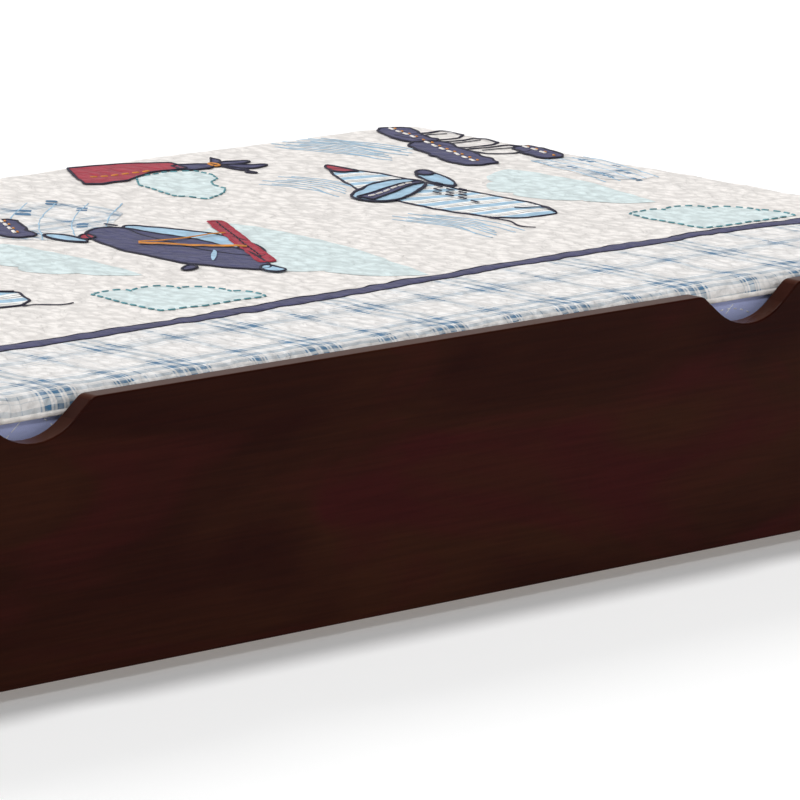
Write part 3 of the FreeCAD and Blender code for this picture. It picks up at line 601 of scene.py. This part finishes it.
def add_quilt():
    """The quilt itself, and the line of its hem."""
    s, t = quilt_cover.grid(QUILT_STEP, quilt_reach)
    points, _ = quilt_cover.lay(s, t)
    rows, columns = s.shape
    quilt = new_piece("quilt_top", points.reshape(-1, 3), grid_faces(rows, columns),
                      [cloth("quilt_cloth", cream_and_plaid, FULL_PUCKERS)])
    laid_flat = np.stack([s, t, np.zeros_like(s)], axis=-1)
    set_points(quilt, "cloth", "FLOAT_VECTOR", laid_flat)
    set_points(quilt, "border", "FLOAT", t - strip_line(s))
    thicken(quilt, QUILT_THICKNESS)
    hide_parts("quilt")
    hem = np.concatenate([np.arange(columns), np.arange(1, rows) * columns + columns - 1,
                          (rows - 1) * columns + np.arange(columns - 2, -1, -1),
                          np.arange(rows - 2, 0, -1) * columns])
    edge = np.column_stack([s.ravel()[hem], t.ravel()[hem]])
    return quilt, edge


def add_binding(edge):
    """A narrow rolled edge around the quilt, sewn on with fine stitches."""
    work = Stitchwork(quilt_cover)
    inset = edge * (1 - 2.5 * MM / np.abs(edge).max())
    work.cord(inset, 6 * MM, 2.2 * MM, cloth("binding_cloth", CREAM, 0.5 * MM), closed=True)
    seam = edge * (1 - 7 * MM / np.abs(edge).max())
    work.dashes(seam, 3 * MM, 2 * MM, 0.8 * MM, 0.6 * MM, thread("white_thread", WHITE),
                closed=True)
    return work.finish("quilt_binding")


def add_strip():
    """The navy band between the middle and the border, with ragged, overcast edges."""
    half = quilt_cover.core[0] + quilt_cover.reach - 9 * MM
    rows = 9
    s = np.linspace(-half, half, int(2 * half / (3 * MM)))
    ragged = [0.5 + 0.13 * waves(s, s * 0, 0.017, seed) + 0.10 * waves(s, s * 0, 0.07, seed + 5)
              for seed in (21, 22)]
    across = np.linspace(-1, 1, rows)
    reach = np.where(across < 0, ragged[0][:, None], ragged[1][:, None])
    s_grid = np.repeat(s[:, None], rows, axis=1)
    t_grid = strip_line(s)[:, None] + across * reach * STRIP_WIDTH
    swell = 1.2 * MM * (1 - across ** 4) + 0.35 * MM * waves(s_grid, t_grid, 0.010, 23)
    points, _ = quilt_cover.lay(s_grid, t_grid, swell)
    work = Stitchwork(quilt_cover)
    work.join(points.reshape(-1, 3), np.column_stack([s_grid.ravel(), t_grid.ravel()]),
              grid_faces(len(s), rows).tolist(), cloth("navy_strip", NAVY, 1.6 * MM))
    ink = thread("strip_thread", INK)
    for column in (0, -1):
        work.cord(np.column_stack([s, t_grid[:, column]]), 2.2 * MM, 1.2 * MM, ink)
    return work.finish("quilt_strip")


# ---- pictures on the quilt ----

class Picture:
    """A place on the quilt for a motif: x runs from 0 at one end to 1 at the other.

    y is across, to the left of that direction, in units of width.
    """

    def __init__(self, start, end, width):
        self.start = np.array(start)
        along = np.array(end) - self.start
        left = np.array([-along[1], along[0]]) / np.linalg.norm(along)
        self.axes = np.array([along, left * width])

    def at(self, points):
        """Places on the quilt for points of the motif."""
        return self.start + np.asarray(points, dtype=float) @ self.axes


patch_work = Stitchwork(quilt_cover)
thread_work = Stitchwork(quilt_cover)
CLOTHS = {name: cloth(f"patch_{name}", colour) for name, colour in
          (("navy", NAVY), ("red", RED), ("sky", SKY), ("aqua", AQUA), ("deep", PLAID_DEEP))}
CLOTHS["plaid"] = cloth("patch_plaid", plaid, FULL_PUCKERS)
CLOTHS["stripe"] = cloth("patch_stripe", stripes, FULL_PUCKERS)
THREADS = {name: thread(f"thread_{name}", colour) for name, colour in
           (("ink", INK), ("teal", TEAL), ("orange", ORANGE), ("cream", CREAM), ("sky", SKY),
            ("red", RED), ("navy", NAVY))}
LAYER = 0.45 * MM  # from one layer of patches or thread to the next


def unsteady(path, amount=0.8 * MM):
    """The path as an unsteady hand would follow it."""
    shift = [waves(path[:, 0] + k, path[:, 1], 0.014, 31 + k) for k in (0, 1)]
    return path + amount * np.column_stack(shift)


def applique(picture, points, cloth_name, layer=1, outline="ink", smooth=2, line=3.4 * MM,
             ragged=0.8 * MM):
    """A patch with a satin-stitched edge."""
    shape = picture.at(rounded(points, smooth))
    shape = unsteady(walk(shape, 5 * MM, closed=True), ragged)
    patch_work.patch(shape, CLOTHS[cloth_name], layer * LAYER)
    if outline:
        edge = walk(shape, 4 * MM, closed=True)
        width = line * (1 + 0.45 * waves(edge[:, 0], edge[:, 1], 0.011, 33))
        width = np.append(width, width[0])
        thread_work.cord(edge, width, 1.0 * MM, THREADS[outline], (layer + 0.6) * LAYER, True)


def line_stitch(picture, points, colour, width=2.4 * MM, layer=3, smooth=2, height=0.9 * MM):
    """One unbroken line of thread, thicker in places."""
    path = picture.at(rounded(points, smooth, closed=False))
    path = unsteady(walk(path, 4 * MM))
    thick = width * (1 + 0.4 * waves(path[:, 0], path[:, 1], 0.013, 34))
    thread_work.cord(path, thick, height, THREADS[colour], layer * LAYER)


def dash_stitch(picture, points, colour, closed=False, smooth=2, layer=2, stitch=8 * MM,
                gap=5 * MM, width=2.6 * MM):
    """A line of running stitches."""
    path = picture.at(rounded(points, smooth, closed))
    thread_work.dashes(path, stitch, gap, width, 1.0 * MM, THREADS[colour], layer * LAYER,
                       closed)


def biplane(picture, body="navy", wing="red"):
    """A fat little plane in profile with one long wing held off its back by orange struts."""
    applique(picture, [
        (1.05, 0.08), (0.94, 0.48), (0.66, 0.88), (0.42, 0.86), (0.16, 0.42), (0.50, 0.10)],
        "sky", 1)
    applique(picture, [
        (0.98, -0.38), (1.02, 0.02), (0.88, 0.22), (0.60, 0.46), (0.36, 0.52), (0.16, 0.36),
        (0.0, 0.16), (0.0, -0.08), (0.16, -0.36), (0.35, -0.56), (0.60, -0.62), (0.84, -0.58)],
        body, 2)
    applique(picture, [
        (0.46, 0.30), (0.30, -0.06), (0.20, -0.22), (0.33, 0.10)], "sky", 4, outline=None)
    applique(picture, [(0.08, 0.20), (-0.05, 0.26), (-0.09, 0.02), (0.0, -0.04)], "sky", 4)
    applique(picture, [
        (0.93, 1.16), (0.92, 1.34), (0.12, 0.42), (0.13, 0.24)], wing, 3, smooth=0, outline=wing)
    dash_stitch(picture, [(0.90, 1.22), (0.16, 0.36)], "ink", smooth=0, layer=5, width=1.4 * MM)
    line_stitch(picture, [(0.66, -0.28), (0.50, 0.30), (0.40, 0.66)], "orange", 8 * MM, 6)
    line_stitch(picture, [(0.68, -0.24), (0.66, 0.40), (0.68, 0.92)], "orange", 3 * MM, 6)
    applique(picture, [(0.94, -0.44), (0.88, -0.66), (0.82, -0.62), (0.86, -0.42)], "red", 3)
    applique(picture, [
        (0.90, -0.62), (1.02, -0.80), (0.98, -0.92), (0.84, -0.84), (0.76, -0.68)], "sky", 3)
    applique(picture, [(0.22, -0.50), (0.16, -0.72), (0.12, -0.70), (0.16, -0.48)], "navy", 3)
    line_stitch(picture, [(1.0, 0.10), (1.06, 0.02)], "ink", 4 * MM, 5, 0)


def glider(picture):
    """A slim plane with a blunt red front, a navy back and a fanned tail."""
    outline = [(0.86, 0.34), (0.38, 0.05), (0.34, 0.62), (0.52, 1.0), (0.50, 1.4), (0.82, 1.9)]
    applique(picture, outline, "aqua", 1, outline=None, smooth=1)
    dash_stitch(picture, outline, "teal", closed=True, smooth=1)
    applique(picture, [
        (1.08, 0.40), (0.95, -0.46), (0.62, -0.50), (0.36, -0.34), (0.37, 0.04), (0.62, 0.12),
        (0.84, 0.46), (1.0, 0.50)], "red", 3, smooth=0)
    applique(picture, [
        (0.42, 0.16), (0.22, 0.12), (0.20, -0.12), (0.42, -0.24)], "navy", 3, smooth=1)
    for tip, spread in ((0.50, 0.30), (0.20, 0.02), (-0.10, 0.04), (-0.40, 0.22)):
        applique(picture, [
            (0.20, 0.05), (0.08, tip + 0.16), (spread - 0.12, tip), (0.08, tip - 0.10),
            (0.20, -0.05)], "navy", 2)
    applique(picture, [
        (0.22, 0.10), (0.18, 0.10), (0.18, -0.10), (0.22, -0.10)], "red", 4, outline="orange")
    dash_stitch(picture, [(0.96, 0.10), (0.56, 0.06)], "orange", smooth=0, layer=4, width=4 * MM)


def striped_plane(picture):
    """A plane from above: broad striped wings, a slim body and a small tail."""
    applique(picture, [
        (0.0, 0.08), (0.30, 0.22), (0.62, 0.16), (1.02, 0.10), (1.0, -0.80), (0.76, -0.96),
        (0.45, -0.92), (0.18, -0.42)], "stripe", 1, smooth=1)
    applique(picture, [
        (-0.01, 0.10), (0.14, 0.16), (0.12, -0.18), (0.02, -0.04)], "red", 3, smooth=1)
    applique(picture, [
        (0.44, -1.18), (0.52, -1.24), (0.60, -1.00), (0.44, 0.06), (0.36, 0.22), (0.30, 0.08),
        (0.36, -0.70)], "sky", 4, line=5 * MM)
    applique(picture, [
        (0.53, -1.12), (0.40, 0.12), (0.37, 0.12), (0.47, -1.16)], "navy", 6, smooth=0)
    dash_stitch(picture, [
        (0.49, -1.04), (0.39, 0.06)], "cream", smooth=0, layer=8, stitch=12 * MM, width=3.4 * MM)
    applique(picture, [
        (0.22, 0.72), (0.34, 0.66), (0.52, 0.26), (0.42, 0.22), (0.28, 0.42)], "sky", 3)
    applique(picture, [(0.24, 0.72), (0.31, 0.66), (0.32, 0.46), (0.25, 0.50)], "navy", 5)
    for step in range(4):
        y = 0.24 - 0.16 * step
        dash_stitch(picture, [
            (0.42 + 0.04 * step, y), (0.60 + 0.06 * step, y - 0.12)], "ink", smooth=0, layer=5,
            stitch=14 * MM, gap=9 * MM, width=3 * MM)
    line_stitch(picture, [(1.0, -0.10), (0.92, 0.05), (0.88, -0.30)], "ink", 3 * MM, 4)
    line_stitch(picture, [
        (0.94, -0.88), (1.02, -0.84), (1.08, -0.98), (1.14, -0.92)], "ink", 2 * MM, 2)


# The plain side of a cloud: nearly straight, or with a corner.
SLIM = ((0.85, -0.10), (0.5, -0.16), (0.15, -0.06))
DEEP = ((0.80, -0.38), (0.59, -0.72), (0.30, -0.40))


def cloud(picture, base=SLIM, swell=0.72, outline=None):
    """A pale cloud with pointed ends, four bumps on one side and a plain base."""
    shape, start = [], 0.0
    for width in (0.20, 0.30, 0.28, 0.22):
        middle = start + width / 2
        for turn in np.linspace(math.pi, 0, 12):
            x = middle + width / 2 * math.cos(turn)
            rise = swell * math.sin(math.pi * min(max(x, 0.0), 1.0)) ** 0.8
            shape.append((x, rise + 0.45 * width * math.sin(turn)))
        start += width
    shape += base
    applique(picture, shape, "aqua", 0.8, outline=None, smooth=0)
    if outline:
        dash_stitch(picture, shape, outline, closed=True, smooth=0, width=3 * MM)


def strokes(picture, count, width=2.2 * MM, bow=0.10):
    """Loose, nearly parallel pen strokes along x, stacked across y."""
    for step in range(count):
        y = step / (count - 1)
        start, end = 0.10 * math.sin(step * 2.1), 1 - 0.22 * math.sin(step * 1.3) ** 2
        line_stitch(picture, [
            (start, y), ((start + end) / 2, y + bow), (end, y - bow)], "sky", width, 0.8,
            height=0.4 * MM)


def ribbon(picture):
    """A navy strip with a dashed centre line."""
    applique(picture, [
        (0, 0.5), (0.5, 0.42), (1, 0.5), (1.06, 0.0), (1, -0.5), (0.5, -0.56), (0, -0.5)], "navy",
        3, smooth=1, ragged=3.5 * MM)
    dash_stitch(picture, [
        (0.04, 0.0), (0.98, 0.0)], "cream", smooth=0, layer=5, stitch=11 * MM, gap=7 * MM,
        width=4 * MM)
    dash_stitch(picture, [
        (0.08, 0.10), (0.98, 0.10)], "orange", smooth=0, layer=5, stitch=5 * MM, gap=17 * MM,
        width=3 * MM)


def roofs(picture, count):
    """Thin outlines of slanting roofs, one behind the other."""
    for step in range(count):
        x = step / count
        line_stitch(picture, [
            (x, 0.0), (x + 0.05, 0.52), (x + 0.02, 1.0), (x + 0.9 / count, 0.94),
            (x + 0.85 / count, 0.05), (x, 0.0)], "ink", 3.2 * MM, 2, 1)
        line_stitch(picture, [(x + 0.1, 0.2), (x + 0.12, 0.85)], "ink", 1.6 * MM, 2, 1)


def patchwork(picture):
    """A torn-looking patch of plaid with loose sketched lines and a few squares."""
    applique(picture, [
        (1.0, 0.1), (0.9, 0.45), (0.6, 0.36), (0.3, 0.5), (0.0, 0.3), (0.08, -0.1), (0.0, -0.42),
        (0.4, -0.36), (0.8, -0.46)], "plaid", 0.9, outline=None, smooth=1)
    for y in (-0.38, -0.16, 0.05, 0.24, 0.42):
        line_stitch(picture, [
            (0.05, y), (0.5, y + 0.06), (0.96, y - 0.04)], "sky", 1.8 * MM, 0.9, height=0.4 * MM)
    for x, y, size in ((0.15, 0.20, 0.10), (0.34, -0.22, 0.07), (0.62, 0.16, 0.10),
                       (0.74, -0.20, 0.07), (0.44, 0.34, 0.06), (0.90, 0.0, 0.08)):
        for near in (x, x + 0.9 * size):
            far = near + 0.6 * size
            applique(picture, [
                (near, y), (far, y), (far, y + size), (near, y + size)], "deep", 1.2,
                outline=None, smooth=0)


def add_pictures():
    """All the motifs, at listed places over the whole quilt and clear of the strip."""
    for place in (
            ((0.03, -0.08), (0.03, 0.15), 0.10), ((0.26, -0.27), (0.31, 0.10), 0.17),
            ((0.77, -0.10), (0.80, 0.17), 0.13), ((-0.30, 0.20), (-0.22, 0.45), 0.14),
            ((-0.80, -0.05), (-0.78, 0.22), 0.14)):
        cloud(Picture(*place))
    for place in (
            ((0.042, -0.258), (-0.089, -0.138), -0.12), ((0.828, -0.258), (0.690, -0.138), -0.12),
            ((-0.34, -0.25), (-0.48, -0.12), -0.12)):
        cloud(Picture(*place), DEEP, 0.34, "teal")
    cloud(Picture((-0.88, -0.25), (-0.70, -0.16), 0.10), outline="teal")
    cloud(Picture((-0.60, 0.34), (-0.42, 0.44), 0.12), outline="teal")
    for place in (
            ((0.08, 0.13), (0.25, 0.32), 0.17), ((-0.48, 0.0), (-0.36, 0.16), 0.13),
            ((0.90, 0.20), (0.86, 0.02), 0.09), ((-0.90, 0.28), (-0.80, 0.44), 0.13),
            ((0.02, 0.36), (0.06, 0.46), 0.10)):
        patchwork(Picture(*place))
    biplane(Picture((0.142, -0.140), (0.182, 0.152), -0.098))
    biplane(Picture((-0.56, -0.14), (-0.62, 0.18), 0.10), "red", "navy")
    glider(Picture((0.588, 0.384), (0.372, 0.428), 0.110))
    glider(Picture((-0.06, 0.30), (-0.28, 0.14), 0.085))
    glider(Picture((-0.86, 0.26), (-0.66, 0.36), 0.085))
    striped_plane(Picture((0.640, 0.313), (0.640, -0.081), 0.10))
    striped_plane(Picture((-0.40, 0.02), (-0.14, -0.07), 0.09))
    strokes(Picture((0.695, 0.455), (0.745, 0.30), 0.085), 11)
    strokes(Picture((0.505, 0.27), (0.53, 0.15), 0.06), 7, width=1.6 * MM, bow=0.2)
    strokes(Picture((0.46, 0.00), (0.48, -0.15), 0.06), 8, width=1.6 * MM, bow=0.2)
    strokes(Picture((-0.74, 0.02), (-0.70, -0.12), 0.08), 8)
    for place in (
            ((0.895, 0.475), (0.858, 0.375), 0.045), ((0.858, 0.375), (0.800, 0.215), 0.055),
            ((0.924, 0.275), (0.900, 0.195), 0.035), ((0.118, 0.262), (0.070, 0.170), 0.040),
            ((-0.40, 0.30), (-0.52, 0.24), 0.045), ((-0.90, -0.10), (-0.86, -0.02), 0.05)):
        ribbon(Picture(*place))
    roofs(Picture((0.862, 0.43), (0.850, 0.24), 0.075), 3)
    roofs(Picture((-0.40, 0.36), (-0.56, 0.30), 0.08), 3)
    return [patch_work.finish("quilt_patches"),
            thread_work.finish("quilt_threads")]


# ---- fitted sheet and mattress ----
sheet_low, sheet_high = corners("fitted_sheet")
SHEET_CORNER = 41.8 * MM
SHEET_EDGE = 11.8 * MM
SHEET_TUCK = 78 * MM
ARC_SPACING = 0.161


def sheet_relief(s, t):
    """A slight ripple, inwards only: the sheet is pulled tight by its elastic."""
    return 0.35 * MM * waves(s, t, 0.07, 41) - 0.35 * MM


sheet_hang = sheet_high[2] - sheet_low[2] - 2 * SHEET_EDGE
sheet_cover = Cover(sheet_low, sheet_high, SHEET_CORNER, SHEET_EDGE, sheet_hang, SHEET_TUCK,
                    SHEET_EDGE, sheet_relief)


def add_fitted_sheet():
    """The blue sheet: over the top, down the sides and turned in below."""
    s, t = sheet_cover.grid(9 * MM)
    points, _ = sheet_cover.lay(s, t)
    rows, columns = s.shape
    sheet = new_piece("sheet_cloth", points.reshape(-1, 3), grid_faces(rows, columns),
                      [sheet_cloth()])
    thicken(sheet, 1.2 * MM)
    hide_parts("fitted_sheet")
    return sheet


def add_sheet_stitches():
    """White running-stitch arcs and thin straight lines around the sheet's sides."""
    work = Stitchwork(sheet_cover)
    white = thread("sheet_thread", WHITE)
    start = sheet_cover.flat + sheet_cover.edge * math.pi / 2
    for axis in (0, 1):
        for side in (-1, 1):
            half = sheet_cover.core[axis]
            edge = sheet_cover.core[1 - axis] + start

            def on_side(along, down):
                across = side * (edge + np.asarray(down))
                pair = (along, across) if axis == 0 else (across, along)
                return np.column_stack(pair)

            count = int(2 * half / ARC_SPACING)
            for index in range(count):
                middle = (index + 0.5 - count / 2) * ARC_SPACING
                turn = np.linspace(0.15 * math.pi, 0.85 * math.pi, 40)
                dip = 50 * MM + 12 * MM * math.sin(index * 1.7)
                arc = on_side(middle + 0.062 * np.cos(turn), dip - 0.048 * np.sin(turn))
                work.dashes(arc, 4 * MM, 3 * MM, 1.3 * MM, 0.7 * MM, white)
                slant = on_side([middle - 0.03, middle + 0.018], [40 * MM, 0.5 * MM])
                work.dashes(slant, 14 * MM, 2 * MM, 0.8 * MM, 0.5 * MM, white)
                low = on_side([middle - 0.07, middle, middle + 0.07], [0.095, 0.082, 0.095])
                work.dashes(rounded(low, 2, False), 4 * MM, 3 * MM, 1.3 * MM, 0.7 * MM, white)
    return work.finish("sheet_stitches")


def ticking():
    """Off-white knit with a small raised diamond pattern."""
    shader = Shader("ticking", 0.9, Sheen_Weight=0.1, Specular_IOR_Level=0.2)
    diagonals = []
    for angle in (45, -45):
        points = shader.add("TexCoord", output=3)
        turned = shader.add("Mapping", {"Vector": points,
                                        "Rotation": (0, 0, math.radians(angle))})
        diagonals.append(shader.add("TexWave", {"Vector": turned, "Scale": 18}, output=1))
    diamonds = shader.math("MULTIPLY", *diagonals)
    knit = shader.bump(shader.noise(1300, 2), 0.2 * MM)
    shader.set("Normal", shader.bump(diamonds, 1.5 * MM, under=knit))
    # Painted shade: the colour follows the relief, darker in the grooves between the raised
    # diamonds and lighter on them.
    shade = shader.spread(diamonds, 0.0, 0.6)
    shader.set("Base Color", shader.mix(shade, screen(222, 219, 212), screen(240, 238, 232)))
    return shader.material


def add_mattress():
    """A foam slab in a quilted cover: two matching shells that meet in a seam round the side."""
    low, high = corners("mattress")
    edge = 10 * MM
    height = high[2] - low[2]

    def tuft(s, t):
        return 0.9 * MM * np.abs(np.sin(s * 24) * np.sin(t * 24)) - 1.2 * MM

    shell = Cover(low, high, 40 * MM, edge, height / 2 - edge, relief=tuft)
    s, t = shell.grid(12 * MM)
    points, _ = shell.lay(s, t)
    rows, columns = s.shape
    top = points.reshape(-1, 3)
    bottom = top * [1, 1, -1] + [0, 0, low[2] + high[2]]
    faces = grid_faces(rows, columns)
    all_faces = np.vstack([faces, faces[:, ::-1] + len(top)])
    slab = new_piece("mattress_slab", np.vstack([top, bottom]), all_faces, [ticking()])
    seam = bmesh.new()
    seam.from_mesh(slab.data)
    bmesh.ops.remove_doubles(seam, verts=seam.verts[:], dist=0.01 * MM)
    seam.to_mesh(slab.data)
    seam.free()
    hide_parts("mattress")


# ---- timber, steel and wheels ----

def finish_frame():
    """Materials for the CAD pieces, by what each is made of and how its grain runs."""
    boards = pine("pine_short", 1)
    finishes = {
        "front_panel": espresso("espresso_long", 0), "back_panel": espresso("espresso_back", 0),
        "end_panel": espresso("espresso_short", 1), "_cleat": pine("pine_long", 0),
        "slat_": boards, "_caster_rail": boards, "_corner_block": pine("pine_upright", 2),
        "_wheel_core": moulded("wheel_plastic", screen(40, 40, 43), 0.45, 0.15 * MM),
        "_tyre": moulded("tyre_rubber", screen(70, 70, 73), 0.8, 0.25 * MM),
    }
    steel = zinc()
    for name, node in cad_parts.items():
        if node.type != "MESH" or name in ("mattress", "fitted_sheet", "quilt"):
            continue
        kind = name.rstrip("0123456789")
        material = next((m for end, m in finishes.items() if kind.endswith(end)), steel)
        node.data.materials.clear()
        node.data.materials.append(material)


def add_bolt_sockets():
    """Flat near-black hexagons on the frame bolts' heads: painted shade of their hex sockets."""
    low, high = corners("frame_bolts")
    head, socket, proud = 9 * MM, 2.6 * MM, 0.02 * MM
    turns = [step * math.pi / 3 for step in range(6)]
    points, faces = [], []
    for x in (low[0] - proud, high[0] + proud):
        for y in (low[1] + head, high[1] - head):
            for z in (low[2] + head, high[2] - head):
                rim = [len(points) + step for step in range(6)]
                points += [(x, y + socket * math.cos(turn), z + socket * math.sin(turn))
                           for turn in turns]
                faces.append(rim if x > 0 else rim[::-1])
    # Painted shade: flat near-black hexagons stand in for the shade inside the hex sockets.
    painted_socket_shade = moulded("socket_shadow", screen(16, 16, 17), 0.6, 0.05 * MM)
    new_piece("bolt_sockets", points, faces, [painted_socket_shade], "frame")


# ---- room, lights and camera ----

def add_floor():
    """A wide white floor that glows a little, like a light table."""
    mesh = bpy.data.meshes.new("floor")
    far = 40.0
    mesh.from_pydata([(-far, -far, 0), (far, -far, 0), (far, far, 0), (-far, far, 0)], [],
                     [(0, 1, 2, 3)])
    floor = bpy.data.objects.new("floor", mesh)
    bpy.context.scene.collection.objects.link(floor)
    shader = Shader("floor_acrylic", 0.9, Specular_IOR_Level=0.0, Emission_Strength=0.18)
    shader.set("Base Color", (0.84, 0.84, 0.84, 1))
    shader.set("Emission Color", (1, 1, 1, 1))
    mesh.materials.append(shader.material)


def add_sun(name, direction, strength, angle):
    """A lamp that shines along a direction, soft by its angle in degrees."""
    sun = bpy.data.lights.new(name, "SUN")
    sun.energy = strength
    sun.angle = math.radians(angle)
    lamp = bpy.data.objects.new(name, sun)
    lamp.rotation_mode = "QUATERNION"
    lamp.rotation_quaternion = Vector(direction).to_track_quat("-Z", "Y")
    bpy.context.scene.collection.objects.link(lamp)


def add_lights():
    """A pale backdrop all round, bright low down, and three soft lamps."""
    world = bpy.data.worlds.new("studio")
    world.use_nodes = True
    tree = world.node_tree
    background = tree.nodes["Background"]
    points = tree.nodes.new("ShaderNodeTexCoord")
    parts = tree.nodes.new("ShaderNodeSeparateXYZ")
    fade = tree.nodes.new("ShaderNodeMapRange")
    limits = {"From Min": 0.25, "From Max": 0.55, "To Min": 0.72, "To Max": 0.08}
    for socket, value in limits.items():
        fade.inputs[socket].default_value = value
    tree.links.new(points.outputs["Generated"], parts.inputs[0])
    tree.links.new(parts.outputs[2], fade.inputs["Value"])
    tree.links.new(fade.outputs[0], background.inputs["Strength"])
    background.inputs["Color"].default_value = (1, 1, 1, 1)
    scene = bpy.context.scene
    scene.world = world
    scene.view_settings.view_transform = "Standard"
    add_sun("overhead", (0.03, -0.135, -1.0), 1.6, 12)
    add_sun("behind", (0.45, -0.75, -0.58), 1.75, 34)
    add_sun("front", (0.15, 0.70, -0.60), 0.75, 10)


def add_camera():
    """The viewpoint: low, off the left end, with a long lens."""
    pitch, yaw, roll = 0.2004, 0.7540, 0.01526
    turn = (Matrix.Rotation(-yaw, 4, "Z") @ Matrix.Rotation(math.pi / 2 - pitch, 4, "X")
            @ Matrix.Rotation(roll, 4, "Z"))
    camera = bpy.data.cameras.new("camera")
    camera.lens = 281.83
    camera.sensor_width = 36
    camera.clip_end = 200
    holder = bpy.data.objects.new("camera", camera)
    holder.matrix_world = Matrix.Translation((-4.1676, -4.9439, 1.4637)) @ turn
    bpy.context.scene.collection.objects.link(holder)
    bpy.context.scene.camera = holder


finish_frame()
add_bolt_sockets()
quilt_piece, quilt_edge = add_quilt()
trims = [add_binding(quilt_edge), add_strip(), *add_pictures()]
sheet_piece = add_fitted_sheet()
add_mattress()
add_sheet_stitches()
add_floor()
add_lights()
add_camera()
